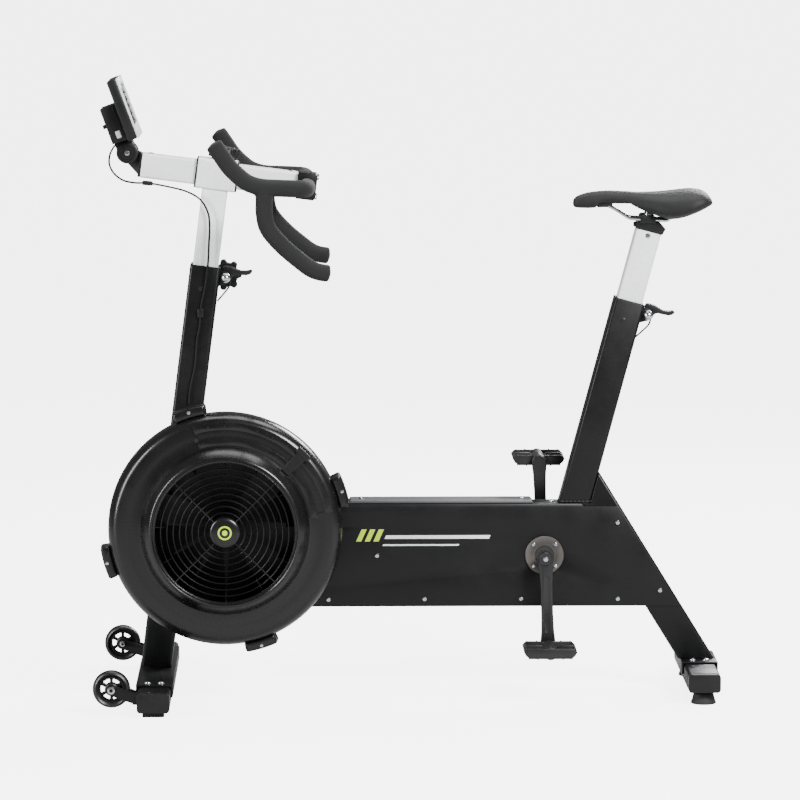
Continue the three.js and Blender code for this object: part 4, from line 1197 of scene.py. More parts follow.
@dataclass
class Drive:
    """The cranks, pedals, bearing plates and the belts and shafts behind the panels.

    Attributes:
        plate_radius: The bearing plates' radius in millimetres.
        plate_face: How far the plates' faces are from the middle.
        bolt_circle: The radius that the plates' screws lie on.
        arm_face: How far a crank arm's face is from the middle.
    """

    plate_radius: float = 38.0
    plate_face: float = 37.1
    bolt_circle: float = 30.5
    arm_face: float = 87.0

    def build(self) -> None:
        """Builds both sides and what is between the panels."""
        axle = joint_at("crank_spin")
        for side, sign in SIDES:
            self._plate(side, sign, axle)
            self._crank(side, sign, axle)
            self._pedal(side, sign)
        for node, finish, body in (
            ("crank_spindle", Finishes.STEEL, "crankset"),
            ("jackshaft", Finishes.STEEL, "jackshaft_body"),
            ("primary_belt", Finishes.BELT, "frame"), ("secondary_belt", Finishes.BELT, "frame"),
        ):
            Bench.skin(node, 0.4, finish, body)

    def _plate(self, side: str, sign: float, axle: Vector) -> None:
        """Builds one bearing plate, its bearing and its four screws."""
        r, f = self.plate_radius, self.plate_face
        at = (axle.x, 0.0, axle.z)
        disc = Bench.lathe(side + "_bearing_disc", flip([
            (19.5, f - 9), (26, f - 9), (26, f - 3), (r - 0.2, f - 3), (r, f - 2.2), (r, f - 0.7),
            (r - 0.7, f), (24, f), (23, f - 0.5), (19.5, f - 0.5)], sign), at, "Y", 72, True)
        Bench.dress(disc, Finishes.GREY_STEEL, "frame", side + "_bearing_plate")
        seal = Bench.lathe(side + "_bearing_seal", flip([
            (11.4, f - 5), (19.4, f - 5), (19.4, f - 0.9), (18, f - 1.4), (13, f - 1.4),
            (11.4, f - 0.9)], sign), at, "Y", 48, True)
        Bench.dress(seal, Finishes.RUBBER, "frame")
        places = [(axle.x + self.bolt_circle * math.cos(math.radians(a)), sign * f,
                   axle.z + self.bolt_circle * math.sin(math.radians(a))) for a in DIAGONALS]
        Screw(3.9, 2.6).row(side + "_plate_screws", places, "frame", "Y", sign)

    def _crank(self, side: str, sign: float, axle: Vector) -> None:
        """Builds one crank arm with its pad, its fluted face, its end bolt and its pedal axle."""
        pin = joint_at(side + "_pedal_spin")
        run = Vector((pin.x - axle.x, 0, pin.z - axle.z))
        up, out = run.normalized(), Vector((run.z, 0, -run.x)).normalized()

        def at(across: float, along: float) -> Pair:
            p = axle + out * across + up * along
            return (p.x, p.z)

        near, far = sign * 72, sign * self.arm_face
        taper = [(13.6, 0), (14.3, 12), (13.2, 30), (11.8, 60), (11.6, 110), (12.6, 145),
                 (14.2, 160)]
        cap = [(14.4 * math.cos(t), 172 + 13.6 * math.sin(t))
               for t in (math.pi * i / 14 for i in range(1, 14))]
        toe = [(13.4 * math.cos(t), 13.4 * math.sin(t))
               for t in (math.pi + math.pi * i / 12 for i in range(1, 12))]
        outline = [*taper, (14.4, 172), *cap, (-14.4, 172), *[(-x, z) for x, z in reversed(taper)],
                   *toe]
        arm = Bench.prism("arm", [at(x, z) for x, z in outline], near, far, 2.4, 4)
        flute = Bench.prism("flute", [at(x, z) for x, z in
                                      ((-5.2, 34), (5.2, 34), (5.6, 146), (-5.6, 146))],
                            far - sign * 1.6, far + sign * 2, 1.0)
        Bench.cut(arm, [flute])
        Bench.smooth(arm)
        hub, end, f = (axle.x, 0.0, axle.z), (pin.x, 0.0, pin.z), self.arm_face
        pad = Bench.lathe("pad",
                          flip([(0, f + 2.8), (11.8, f + 2.8), (13.2, f + 1.4), (13.4, f - 2),
                                       (0, f - 2)], sign), hub, "Y", 48)
        inner = Bench.lathe("inner",
                            flip([(0, 70.2), (16, 70.2), (17, 71.4), (17, 83), (0, 83)], sign),
                            hub, "Y", 40)
        shaft = Bench.lathe(side + "_pedal_axle",
                            flip([(0, f - 1), (6.4, f - 1), (6.4, 180), (0, 180)], sign),
                            end, "Y", 24)
        piece = Bench.join(side + "_crank", [arm, pad, inner])
        Bench.dress(piece, Finishes.CRANK_COAT, "crankset", side + "_crank_arm")
        Bench.dress(shaft, Finishes.STEEL, "crankset")
        Screw(5.2, 2.6).row(side + "_crank_bolt", [(hub[0], far + sign * 2.6, hub[2])], "crankset",
                            "Y", sign)
        eye = Bench.lathe(side + "_axle_end",
                          flip([(4.2, 0.2), (8.6, 0.2), (9.4, -1.2), (3.4, -1.2)], sign),
                          (end[0], far, end[2]), "Y", 32, True)
        Bench.dress(eye, Finishes.NYLON, "crankset")

    def _pedal(self, side: str, sign: float) -> None:
        """Builds one cage pedal with its traction pins."""
        node, body = side + "_pedal", side + "_pedal_body"
        cage = Bench.from_node(node, node + "_cage", 1.1)
        low, high = (Vector(v) * 1000 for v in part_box(node))
        mid = (low + high) / 2
        base = joint_at(side + "_pedal_spin").z
        pins = []
        for dx in (-42, -24, 24, 42):
            for dy in (-42, 42):
                for up in (1, -1):
                    rise = 9.2 if abs(dx) < 41 else 8.2
                    pins.append(Bench.lathe("pin", [(0, up * (rise + 3)), (1.3, up * (rise + 2.8)),
                                                    (1.6, up * rise),
                                                    (1.6, up * (rise - 3)), (0, up * (rise - 3))],
                                            (mid.x + dx, mid.y + dy, base), "Z", 10))
        piece = Bench.join(node + "_cage", [cage, *pins])
        Bench.dress(piece, Finishes.RESIN, body, node)


# ---- Seat ----------------------------------------------------------------------------------------


@dataclass
class Saddle:
    """The saddle: a vinyl cover over foam, on a shell with two rails.

    Attributes:
        sections: From nose to tail: X, half width, crown height and underside height.
        around: Faces round a section.
        swell_mm: How far the foam may press the cover out.
    """

    sections: tuple[tuple[float, float, float, float], ...] = (
        (324, 9, 975, 962), (329, 15, 981, 960), (341, 19.5, 986.5, 959), (361, 22, 991, 959),
        (391, 24, 992.5, 962), (425, 29, 991, 961), (452, 38, 990, 955), (476, 51, 990, 948),
        (498, 63, 991, 941), (520, 71, 993, 938), (543, 76, 995.5, 942), (562, 77, 996.5, 949),
        (580, 71, 994, 958), (592, 56, 983, 965), (598, 40, 974, 967),
    )
    around: int = 40
    swell_mm: float = 1.4

    def build(self) -> None:
        """Builds the padded cover, its rails and their sockets."""
        cover = self._cover()
        Bench.dress(cover, Finishes.VINYL, "saddle_body", "saddle")
        self._rails()

    def _ring(self, section: Vector) -> list[Vector]:
        """Returns the points of one cross-section in metres."""
        x, half, crown, under = section
        flank = under + (crown - under) * 0.3
        ring = []
        for i in range(self.around):
            angle = math.tau * i / self.around
            c, s = math.cos(angle), math.sin(angle)
            y = half * math.copysign(abs(c) ** 0.78, c)
            channel = 2.6 * math.exp(-((y / 9) ** 2)) if s > 0 and 440 < x < 575 else 0.0
            if s >= 0:
                z = flank + (crown - flank) * s**0.8 - channel
            else:
                z = flank + (flank - under) * s
            ring.append(Vector((x, y, z)) * MM)
        return ring

    def _cover(self) -> bpy.types.Object:
        """Builds the cover as a loft, cuts the recess under it and puffs it with cloth."""
        line = smooth_line([Vector((a, b, c)) for a, b, c, _ in self.sections], 4)
        under = smooth_line([Vector((a, 0, d)) for a, _, _, d in self.sections], 4)
        stations = [(p.x, max(p.y, 6), p.z, q.z) for p, q in zip(line, under)]
        Bench.clear()
        bpy.ops.mesh.primitive_grid_add(x_subdivisions=self.around,
                                        y_subdivisions=len(stations) - 1)
        piece = bpy.context.object
        piece.name = "saddle_cover"
        piece.matrix_world = Matrix()
        wide = self.around + 1
        for row, station in enumerate(stations):
            ring = self._ring(station)
            for i in range(wide):
                piece.data.vertices[row * wide + i].co = ring[i % self.around]
        Bench.clean(piece)
        Bench.select(piece)
        bpy.ops.mesh.select_mode(type="EDGE")
        bpy.ops.mesh.select_non_manifold()
        bpy.ops.mesh.fill_holes(sides=0)
        bpy.ops.object.mode_set(mode="OBJECT")
        Bench.clean(piece)
        recess = Bench.prism("recess", [(372, 900), (372, 970), (440, 970), (470, 966), (556, 966),
                                        (556, 900)],
                             -31, 31, 3)
        Bench.cut(piece, [recess])
        Bench.apply(piece, "REMESH", mode="VOXEL", voxel_size=mm(3.2))
        Bench.apply(piece, "SMOOTH", factor=0.5, iterations=6)
        self._puff(piece)
        Bench.smooth(piece, 60)
        return piece

    def _puff(self, piece: bpy.types.Object) -> None:
        """Runs a short cloth pass that presses the cover out, capped, and applies it."""
        rest = [v.co.copy() for v in piece.data.vertices]
        Bench.hold(piece)
        cloth = piece.modifiers.new("cloth", "CLOTH")
        cloth.settings.use_pressure = True
        cloth.settings.uniform_pressure_force = 3.0
        cloth.settings.effector_weights.gravity = 0.0
        cloth.settings.quality = 5
        scene = bpy.context.scene
        for frame in range(1, 13):
            scene.frame_set(frame)
        bpy.ops.object.modifier_apply(modifier="cloth")
        scene.frame_set(1)
        cap = mm(self.swell_mm)
        for vertex, home in zip(piece.data.vertices, rest):
            move = vertex.co - home
            if move.length > cap:
                vertex.co = home + move.normalized() * cap
        Bench.apply(piece, "SMOOTH", factor=0.5, iterations=4)

    def _rails(self) -> None:
        """Builds the bent rails and the sockets that hold them."""
        rails, sockets = [], []
        for sign in (-1, 1):
            route = [(521, sign * 25, 947), (515, sign * 24, 941), (509, sign * 22.5, 936.4),
                     (500, sign * 22, 936.3),
                     (472, sign * 22, 937.8), (444, sign * 22, 939.2), (435, sign * 21.6, 940.6),
                     (426, sign * 20, 945.6), (412, sign * 17, 954.4), (398, sign * 14, 962.4),
                     (384, sign * 9, 966)]
            rails.append(Bench.sweep("rail", route, 3.5, 16, 6))
        Bench.dress(Bench.join("saddle_rods", rails), Finishes.CHROME, "saddle_body",
                    "saddle_rails")
        for sign in (-1, 1):
            sockets.append(Bench.prism("socket",
                                       [(509, 940), (519, 938), (531, 950), (531, 960), (515, 960)],
                                       sign * 19, sign * 30, 2.0, 3))
        sockets.append(Bench.prism("socket",
                                   [(372, 961), (396, 961.5), (402, 966), (402, 972), (372, 972)],
                                   -16, 16, 2.0, 3))
        Bench.dress(Bench.join("rail_sockets", sockets), Finishes.NYLON, "saddle_body")


@dataclass
class Latch:
    """A spring latch behind a mast's mouth: its lever, its pin's domed head and its leaf spring.

    Attributes:
        node: The CAD node that it stands for.
        body: The body that it rides on.
        joint: Its hinge.
        top: X and Z of the mast's mouth.
        lean: The mast's lean in degrees.
        face: From the mast's middle to its rear face.
    """

    node: str
    body: str
    joint: str
    top: Pair
    lean: float
    face: float = 30.0

    def build(self) -> None:
        """Builds the lever, the pin's head and the spring."""
        place = leaning(self.top, self.lean)
        f = self.face
        lever = (
            (3, -2), (5, 3.5), (10, 5), (22, 4.6), (32, 1.4), (40, -0.6), (50, 0.2), (58, 3),
            (61.5, 3.6), (62.8, 0.8), (59, -4.8), (52, -7.8), (42, -8.6), (30, -9), (25, -12),
            (22, -22), (16, -26.5), (9, -25), (4, -12),
        )
        blade = Bench.prism(self.node + "_lever", [place(f + out, up) for out, up in lever],
                            -11.5, 11.5, 2.0, 3)
        hinge = joint_at(self.joint)
        hub = (hinge.x, 0, hinge.z)
        pin = Bench.lathe("pin", [(0, -31), (4, -31), (4, 23.6), (0, 23.6)], hub, "Y", 20)
        Bench.dress(blade, Finishes.NYLON, self.body, self.node)
        head = Bench.lathe("head", [(0, -38), (3.6, -37.4), (6.8, -35), (9, -31.6), (9.6, -28.6),
                                    (8.6, -27),
                                    (5, -26.6), (5, -24), (0, -24)], hub, "Y", 40)
        Bench.dress(Bench.join(self.node + "_pin", [pin, head]), Finishes.ZINC, self.body)
        bends = [place(f + out, up) for out, up in ((21, -24), (20, -36), (12, -50), (1.4, -66))]
        spring = Bench.sweep(self.node + "_spring", [(x, 0, z) for x, z in bends], 1.7, 12, 8)
        Bench.dress(spring, Finishes.NYLON, "frame")


@dataclass
class Seat:
    """The sliding seat post, its head and the saddle.

    Attributes:
        top: X and Z of the seat mast's mouth.
        lean: The post's lean in degrees.
        exposed: How much of the post shows above the mouth.
        insertion: How much of it is inside.
    """

    top: Pair = (436, 776)
    lean: float = 15.0
    exposed: float = 143.0
    insertion: float = POST_INSERTION

    def build(self) -> None:
        """Builds the post, the head, the saddle and the latch."""
        place = leaning(self.top, self.lean)
        a, b = place(0, -self.insertion), place(0, self.exposed)
        post = Bench.square_tube("seat_post_tube", a, b, POST)
        Bench.dress(post, Finishes.SILVER_COAT, "seat_post_body", "seat_post")
        head = Bench.from_node("saddle_head", "saddle_head_casting", 1.6)
        Bench.dress(head, Finishes.NYLON, "seat_post_body", "saddle_head")
        x, z = place(0, self.exposed - 8.5)
        Screw(5.2, 1.6).row("seat_post_screws", [(x, -25, z)], "seat_post_body")
        nut = Bench.lathe("saddle_clamp_nut",
                          [(0, 956.4), (3, 955.8), (5.4, 953.2), (6.2, 950), (7.6, 949.6),
                                               (7.6, 947), (0, 947)], (470.8, 0, 0), "Z", 32)
        near = Bench.copy(nut, Matrix.Translation((0, -mm(24), 0)))
        Bench.dress(Bench.join("saddle_clamp_nut", [nut, near]), Finishes.ZINC, "seat_post_body")
        Saddle().build()
        Latch("seat_latch", "seat_latch_body", "seat_latch_turn", self.top, self.lean).build()


# ---- Handlebar -----------------------------------------------------------------------------------


@dataclass
class Cockpit:
    """The handlebar post, its sleeve, the sliding stem and the two bent bars.

    Attributes:
        top: X and Z of the front mast's mouth.
        lean: The mast's lean in degrees.
        rise: From the mouth up to the sleeve's middle.
        side: How far the bars' sides are from the middle.
        grip: The foam's radius.
        sleeve_half: Half the sleeve's length.
    """

    top: Pair = (-397, 846)
    lean: float = 7.25
    rise: float = 182.0
    side: float = 201.0
    grip: float = 17.0
    sleeve_half: float = 38.5

    def build(self) -> None:
        """Builds the whole cockpit."""
        self.mast = leaning(self.top, self.lean)
        self.place = leaning(self.mast(0, self.rise), self.lean)
        self._post()
        self._stem()
        self._bars()
        self._knobs()
        Latch("handlebar_latch", "handlebar_latch_body", "handlebar_latch_turn", self.top,
              self.lean).build()

    def _post(self) -> None:
        """Builds the inner post and the sleeve on its head, with its black end bushes."""
        a, b = self.mast(0, -POST_INSERTION), self.mast(0, self.rise - 30)
        post = Bench.square_tube("handlebar_post_tube", a, b, POST)
        Bench.dress(post, Finishes.SILVER_COAT, "handlebar_post_body", "handlebar_post")
        end = self.sleeve_half
        sleeve = Bench.square_tube("stem_sleeve_tube", self.place(-end, 0), self.place(end, 0),
                                   SLEEVE)
        bore = leaning_block("bore", self.place, (-60, 60), (-25, 25), (-25, 25))
        Bench.cut(sleeve, [bore])
        Bench.dress(Bench.smooth(sleeve), Finishes.SILVER_COAT, "handlebar_post_body",
                    "stem_sleeve")
        bushes = []
        for along in ((-end - 3.3, -end), (end, end + 3.3)):
            ring = leaning_block("bush", self.place, along, (-29, 29), (-29, 29), 0.7)
            hole = leaning_block("hole", self.place, (-60, 60), (-24.4, 24.4), (-24.4, 24.4))
            bushes.append(Bench.cut(ring, [hole]))
        Bench.dress(Bench.join("sleeve_bushes", bushes), Finishes.NYLON, "handlebar_post_body")

    def _stem(self) -> None:
        """Builds the stem tube, the screws on it and the bar clamp."""
        centre = self.place(0, 0)
        cos = math.cos(math.radians(self.lean))
        front, rear = (-521 - centre[0]) / cos, (-217 - centre[0]) / cos
        tube = Bench.square_tube("stem_bar", self.place(rear, 0), self.place(front, 0), STEM)
        Bench.dress(tube, Finishes.SILVER_COAT, "stem_body", "stem_tube")
        tops = [self.place((x - centre[0]) / cos, 24) for x in (-506, -231)]
        Screw(5.4, 2.2).row("stem_screws", [(u, 0, w) for u, w in tops], "stem_body", "Z", 1.0)
        Bench.skin("handlebar_clamp", 2.0, Finishes.BLACK_COAT, "stem_body")
        Bench.skin("monitor_arm", 1.4, Finishes.NYLON, "stem_body")
        x = rear + 38.3
        places = [self.place(x, s * 19) for s in (-1, 1)]
        bolts = [(u, y, w) for u, w in places for y in (-24, 24)]
        Screw(3.8, 2.2).row("clamp_screws", bolts, "stem_body", "X", 1.0)

    def _bars(self) -> None:
        """Builds the two foam-covered bars, each one blended where the drop leaves the horn."""
        s, r = self.side, self.grip
        horn = [(-378.5, -s, 1100.5), (-362, -s, 1077), (-344.5, -s, 1052), (-318, -s, 1027.5),
                (-298, -s, 1018), (-277, -s, 1014), (-240, -s, 1012.5), (-216, 2 - s, 1011.5),
                (-204, 12 - s, 1010.5), (-199.5, 32 - s, 1009), (-198, -120, 1006.5),
                (-196.9, -28, 1003.8)]
        drop = [(-279, -s, 1012), (-279.5, -s, 985), (-279, -s, 962), (-271.5, -s, 934),
                (-245, -s, 902.5), (-213, -s, 875), (-191, -s, 858.5), (-174, -s, 851.5),
                (-151, -s, 848)]
        bar = Bench.join("left_grip", [Bench.sweep("horn", horn, r, 32, 6, 2.5),
                                       Bench.sweep("drop", drop, r, 32, 6, 2.5)])
        Bench.apply(bar, "REMESH", mode="VOXEL", voxel_size=mm(2.6))
        Bench.apply(bar, "SMOOTH", factor=0.5, iterations=8)
        Bench.smooth(bar, 60)
        twin = Bench.copy(bar, Matrix.Scale(-1, 4, (0, 1, 0)))
        Bench.dress(bar, Finishes.FOAM, "stem_body", "left_handlebar")
        twin.name = "right_grip"
        Bench.dress(twin, Finishes.FOAM, "stem_body", "right_handlebar")

    def _star(self, height: float) -> bpy.types.Object:
        """Makes a seven-lobed knob about Z, its base at the origin."""
        outline = []
        for i in range(112):
            angle = math.tau * i / 112
            radius = 27.2 + 3.4 * math.tanh(2.2 * math.cos(7 * angle)) / math.tanh(2.2)
            outline.append((radius * math.cos(angle), radius * math.sin(angle)))
        crown = Bench.prism("crown", outline, 0, height, 3.0, 4)
        crown.data.transform(Matrix.Rotation(math.radians(90), 4, "X"))
        Bench.clean(crown)
        cap = Bench.lathe("cap", [(0, height + 2.6), (10, height + 2.4), (13.2, height + 1),
                                  (14, height - 1.5),
                                  (0, height - 1.5)], (0, 0, 0), "Z", 40)
        neck = Bench.lathe("neck", [(0, -4), (9, -4), (10, 0.5), (0, 0.5)], (0, 0, 0), "Z", 24)
        return Bench.smooth(Bench.join("star", [crown, cap, neck]))

    def _knobs(self) -> None:
        """Builds the star knobs that clamp the stem and the handlebar post."""
        lean = math.radians(self.lean)
        star = self._star(20)
        base = self.place(8, 34.3)
        upright = Matrix.Translation((mm(base[0]), 0, mm(base[1]))) @ Matrix.Rotation(lean, 4, "Y")
        top = Bench.copy(star, upright)
        top.name = "stem_star"
        Bench.dress(top, Finishes.NYLON, "stem_knob_body", "stem_knob")
        pin = joint_at("post_knob_turn")
        sideways = Matrix.Translation(Vector((pin.x, 34,
                                              pin.z)) * MM) @ Matrix.Rotation(math.radians(-90), 4,
                                                                              "X")
        side = Bench.copy(star, sideways)
        side.name = "post_star"
        Bench.dress(side, Finishes.NYLON, "post_knob_body", "post_knob")
        bpy.data.objects.remove(star, do_unlink=True)


# ---- Monitor -------------------------------------------------------------------------------------


@dataclass
class Monitor:
    """The tilting monitor: its case, bezel, screen, keys and battery door.

    Attributes:
        tilt: Degrees that its screen leans back.
        back: From the pivot's plane to the case's back.
        thick: The case's thickness.
        low: From the pivot up to the case's lower edge.
        height: The case's height.
        half: Half its width.
    """

    tilt: float = 20.2
    back: float = 13.3
    thick: float = 18.7
    low: float = 22.4
    height: float = 122.0
    half: float = 82.0

    def build(self) -> None:
        """Builds the monitor on its arm."""
        pivot = joint_at("monitor_tilt")
        self.place = leaning((pivot.x, pivot.z), -self.tilt)
        self._case(pivot)
        bezel = Bench.from_node("monitor_bezel", "monitor_front", 0.9)
        Bench.dress(bezel, Finishes.PALE_PLASTIC, "monitor_body", "monitor_bezel")
        for i in range(1, 6):
            key = Bench.from_node(f"monitor_button_{i}", f"key_{i}", 1.2)
            Bench.dress(key, Finishes.KEYS, f"button_{i}_body", f"monitor_button_{i}")
        self._screen()
        self._hub(pivot)
        self._details()

    def _block(
        self, name: str, a0: float, a1: float, u0: float, u1: float, y0: float, y1: float,
        radius: float,
    ) -> bpy.types.Object:
        """Makes a block between two depths, two heights and two sides of the monitor."""
        return leaning_block(name, self.place, (a0, a1), (u0, u1), (y0, y1), radius)

    def _case(self, pivot: Vector) -> None:
        """Builds the case, its battery box with the catch, and the two cheeks on the pivot."""
        back, top = self.back, self.low + self.height
        parts = [
            self._block("case", back, back + self.thick, self.low, top, -self.half, self.half, 2.2),
            self._block("box", back - 33, back + 1, self.low + 3, self.low + 76, -46, 46, 2.0),
            self._block("catch", back - 40, back - 31, self.low + 36, self.low + 44, -30, -20, 0.8),
        ]
        for y0, y1 in ((-28, -13.3), (13.3, 28)):
            cheek = [self.place(-17, -6), self.place(17, -6), self.place(18, self.low + 1),
                     self.place(-17, self.low + 5)]
            parts.append(Bench.prism("cheek", cheek, y0, y1, 1.0))
            parts.append(Bench.lathe("barrel", [(0, y0), (20, y0), (21, y0 + 1), (21, y1 - 1),
                                                (20, y1), (0, y1)],
                                     (pivot.x, 0, pivot.z), "Y", 56))
        Bench.dress(Bench.join("monitor_shell", parts), Finishes.NYLON, "monitor_body",
                    "monitor_case")

    def _screen(self) -> None:
        """Builds the liquid crystal panel, the black mask round it and the keys' membrane."""
        membrane = self._block("key_membrane", 35.9, 37.0, self.low + 26.5, self.low + 101.5, -80.5,
                               -50, 0.3)
        Bench.dress(membrane, Finishes.HOUSING, "monitor_body")
        front = self.back + self.thick + 0.4
        u0, u1 = self.low + 27, self.low + self.height - 15
        mask = self._block("screen_mask", front, front + 1.4, u0, u1, -41, 65, 0.2)
        Bench.dress(mask, Finishes.HOUSING, "monitor_body")
        glass = self._block("screen_glass", front + 1.5, front + 2.1, u0 + 6, u1 - 6, -35, 59, 0.2)
        Bench.dress(glass, Finishes.LCD, "monitor_body")

    def _hub(self, pivot: Vector) -> None:
        """Builds the ribbed pivot discs and their bolts."""
        at = (pivot.x, 0.0, pivot.z)
        profile = [(0, 28), (18.5, 28), (20.6, 29), (20.6, 30.4), (17.4, 31.2), (16.6, 30),
                   (13.4, 30),
                   (12.6, 31.4), (9, 31.4), (8.4, 30), (0, 30)]
        discs = [Bench.lathe("disc", flip(profile, s), at, "Y", 56) for s in (-1, 1)]
        Bench.dress(Bench.join("pivot_discs", discs), Finishes.NYLON, "monitor_body")
        Screw(5.6, 2.4).row("pivot_bolt", [(at[0], -30, at[2])], "monitor_body")
        Screw(5.6, 2.4).row("pivot_nut", [(at[0], 30, at[2])], "monitor_body", "Y", 1.0)

    def _details(self) -> None:
        """Builds the battery door's seam, the blank label and the vents."""
        rear = self.back - 33
        label = self._block("blank_label", rear + 13, rear + 22, self.low + 11, self.low + 25,
                            -46.4, -46.0, 0.05)
        Bench.dress(label, Finishes.LABEL, "monitor_body")
        seam = self._block("battery_seam", rear + 24.5, rear + 26, self.low + 6, self.low + 73,
                           -46.9, 46.9, 0.3)
        vents = [self._block("vent", rear - 0.6, rear + 1, self.low + 16 + i * 6,
                             self.low + 18.4 + i * 6, -26, 34, 0.3)
                 for i in range(8)]
        Bench.dress(Bench.join("battery_ribs", [seam, *vents]), Finishes.NYLON, "monitor_body")


# ---- Sensor cable --------------------------------------------------------------------------------


@dataclass
class Span:
    """One stretch of the lead.

    Attributes:
        name: The piece's name.
        first: The route's point that it starts at.
        last: The route's point that it ends at.
        bodies: The bodies at its start and its end, which one joint joins; not used.
        settled: The route's point from where it would follow the second body; not used.
    """

    name: str
    first: int
    last: int
    bodies: tuple[str, str]
    settled: int


@dataclass
class SensorCable:
    """The thin lead from the monitor down the mast, in the same route as the CAD's.

    It is three spans end to end.

    Attributes:
        route: Its points in millimetres.
        radius: Its radius.
        steps: How many points the smooth line has from one of the route's to the next.
        spans: The stretches that it is made in.
    """

    route: tuple[Point, ...] = (
        (-569.8, -34, 1086.6), (-575.5, -34, 1080), (-582, -32, 1066), (-583, -31, 1048),
        (-574, -30, 1030),
        (-556, -30, 1016.5), (-532, -29, 1011.5), (-508, -28, 1011), (-472, -28, 1004.5),
        (-434, -30, 995),
        (-406, -33, 979), (-391, -34, 953), (-388, -34.5, 925), (-389.5, -35, 892),
        (-391, -35, 860),
        (-393, -35, 841), (-398.5, -34, 803), (-406, -33.5, 767), (-408, -33.5, 733),
        (-413.5, -33.5, 704),
        (-418, -33.5, 654), (-425, -33.5, 620), (-429, -33.5, 596), (-430, -33.5, 577),
    )
    radius: float = 2.0
    steps: int = 5
    spans: tuple[Span, ...] = (
        Span("sensor_lead_upper", 0, 7, ("monitor_body", "stem_body"), 7),
        Span("sensor_lead_middle", 7, 11, ("stem_body", "handlebar_post_body"), 11),
        Span("sensor_lead", 11, 23, ("handlebar_post_body", "frame"), 17),
    )

    def build(self) -> None:
        """Builds the lead's spans, its clip under the stem and its clip on the mast."""
        line = [tuple(p) for p in smooth_line([Vector(p) for p in self.route], self.steps)]
        for span in self.spans:
            self._span(span, line[span.first * self.steps : span.last * self.steps + 1])
        clip = Bench.prism("stem_cable_clip",
                           [(-519, 1007.4), (-499, 1006), (-499, 1014.4), (-519, 1016)],
                           -34, -22, 1.6, 3)
        Bench.dress(clip, Finishes.NYLON, "stem_body")
        saddle = [(-412.5, 747), (-400.5, 747), (-400.5, 765), (-412.5, 765)]
        Bench.dress(Bench.prism("mast_cable_clip", saddle, -36.8, -29.6, 1.6, 3), Finishes.NYLON,
                    "frame")

    def _span(self, span: Span, line: list[Point]) -> None:
        tube = Bench.sweep(span.name, line, self.radius, 16, 1)
        tube.data.materials.clear()
        tube.data.materials.append(Finishes.SHEATH.material())
        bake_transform(tube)
        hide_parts("cable")


# ---- Studio --------------------------------------------------------------------------------------


@dataclass(frozen=True)
class Light:
    """One soft rectangular light.

    Attributes:
        name: Its name.
        at: Where it stands in metres.
        target: The point that it looks at.
        size: Its width and height in metres.
        power: Its power in watts.
    """

    name: str
    at: Point
    target: Point
    size: Pair
    power: float

    def build(self) -> None:
        """Adds the light."""
        aim = (Vector(self.target) - Vector(self.at)).to_track_quat("-Z", "Y").to_euler()
        bpy.ops.object.light_add(type="AREA", location=self.at, rotation=aim)
        lamp = bpy.context.object
        lamp.name = self.name
        lamp.data.shape = "RECTANGLE"
        lamp.data.size, lamp.data.size_y = self.size
        lamp.data.energy = self.power


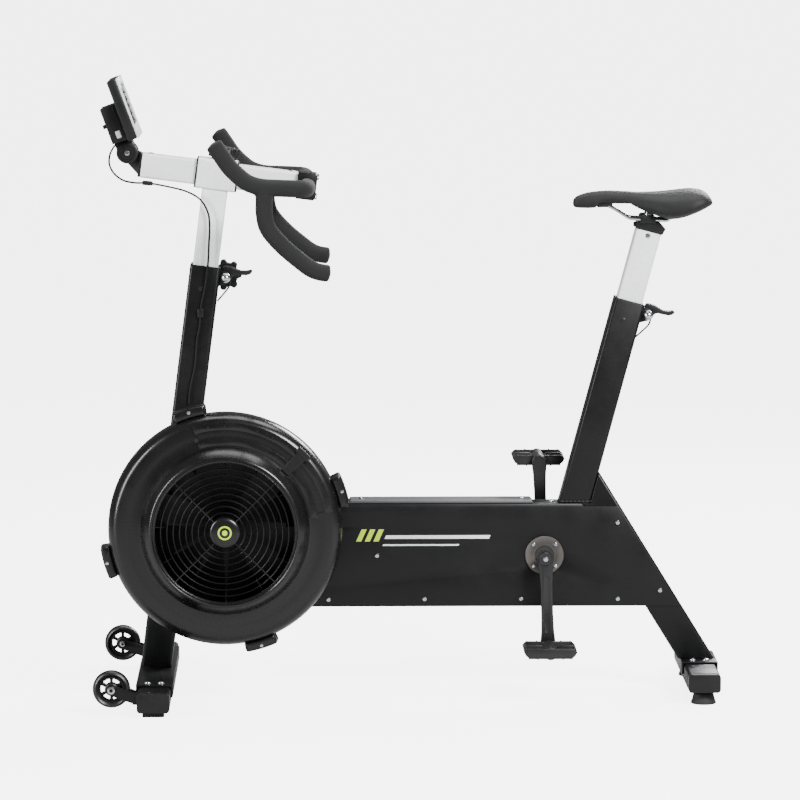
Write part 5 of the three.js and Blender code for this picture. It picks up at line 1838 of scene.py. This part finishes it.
@dataclass
class Studio:
    """The pale floor, the soft lights and the camera.

    Attributes:
        eye: Where the camera stands in metres.
        pitch: Degrees that it looks down.
        yaw: Degrees that it looks towards +X.
        lens: Its focal length in millimetres.
        sensor: Its sensor's width in millimetres.
        reach: How far it sees in metres.
        floor_size: The floor's side in metres.
        paper_glow: How brightly the backdrop paper is lit on its own.
        ambient: How strongly the room lights the bike from all round.
        lights: The lights round the bike.
    """

    eye: Point = (-0.1777, -9.051, 1.648)
    pitch: float = 6.73
    yaw: float = 1.03
    lens: float = 207.9
    sensor: float = 36
    reach: float = 100
    floor_size: float = 160
    paper_glow: float = 5.0
    ambient: float = 0.2
    lights: tuple[Light, ...] = (
        Light("key", (2.3, -3.0, 3.1), (0, 0, 0.6), (1.5, 1.2), 470),
        Light("left strip", (-3.1, -1.7, 1.5), (-0.3, 0, 0.6), (0.5, 2.2), 150),
        Light("top", (0.1, 0.5, 3.4), (0, 0, 0.4), (2.6, 1.5), 110),
        Light("back rim", (1.6, 3.0, 2.4), (0.1, 0, 0.6), (1.4, 1.0), 160),
    )

    def build(self) -> None:
        """Builds the camera, the lights and the floor."""
        Bench.clear()
        turn = Euler((math.radians(90 - self.pitch), 0, -math.radians(self.yaw)))
        bpy.ops.object.camera_add(location=self.eye, rotation=turn)
        camera = bpy.context.object
        camera.name = "camera"
        camera.data.lens = self.lens
        camera.data.sensor_width = self.sensor
        camera.data.clip_end = self.reach
        bpy.context.scene.camera = camera
        self._floor()
        for light in self.lights:
            light.build()
        world = bpy.data.worlds.new("studio")
        bpy.context.scene.world = world
        world.use_nodes = True
        shade = world.node_tree.nodes["Background"]
        shade.inputs["Color"].default_value = linear("#fbfbfc")
        seen = add_node(world.node_tree, "ShaderNodeLightPath", {}, {}).outputs["Is Camera Ray"]
        add = {"in:1": 0.0, "in:2": 1.0, "in:3": self.ambient, "in:4": self.paper_glow}
        strength = add_node(world.node_tree, "ShaderNodeMapRange", add, {"Value": seen})
        world.node_tree.links.new(strength.outputs[0], shade.inputs["Strength"])

    def _floor(self) -> None:
        """Builds the plain floor, which the camera sees as evenly lit as a swept studio paper."""
        bpy.ops.mesh.primitive_plane_add(size=self.floor_size)
        floor = bpy.context.object
        floor.name = "floor"
        paper = Finishes.FLOOR.material()
        floor.data.materials.append(paper)
        tree = paper.node_tree
        seen = add_node(tree, "ShaderNodeLightPath", {}, {}).outputs["Is Camera Ray"]
        glow = add_node(tree, "ShaderNodeMath", {"operation": "MULTIPLY", "in:1": self.paper_glow},
                        {0: seen})
        shader = tree.nodes["Principled BSDF"]
        shader.inputs["Emission Color"].default_value = (1, 1, 1, 1)
        tree.links.new(glow.outputs[0], shader.inputs["Emission Strength"])


def main() -> None:
    """Builds the studio, then the bike's sub-assemblies in order."""
    logging.basicConfig(level=logging.INFO, format="%(message)s")
    Studio().build()
    for assembly in (SensorCable(), Structure(), Castors(), Fan(), Drive(), Seat(), Cockpit(),
                     Monitor()):
        assembly.build()
        LOG.info("built %s", type(assembly).__name__)
    Bench.clear()


if __name__ == "__main__":
    main()
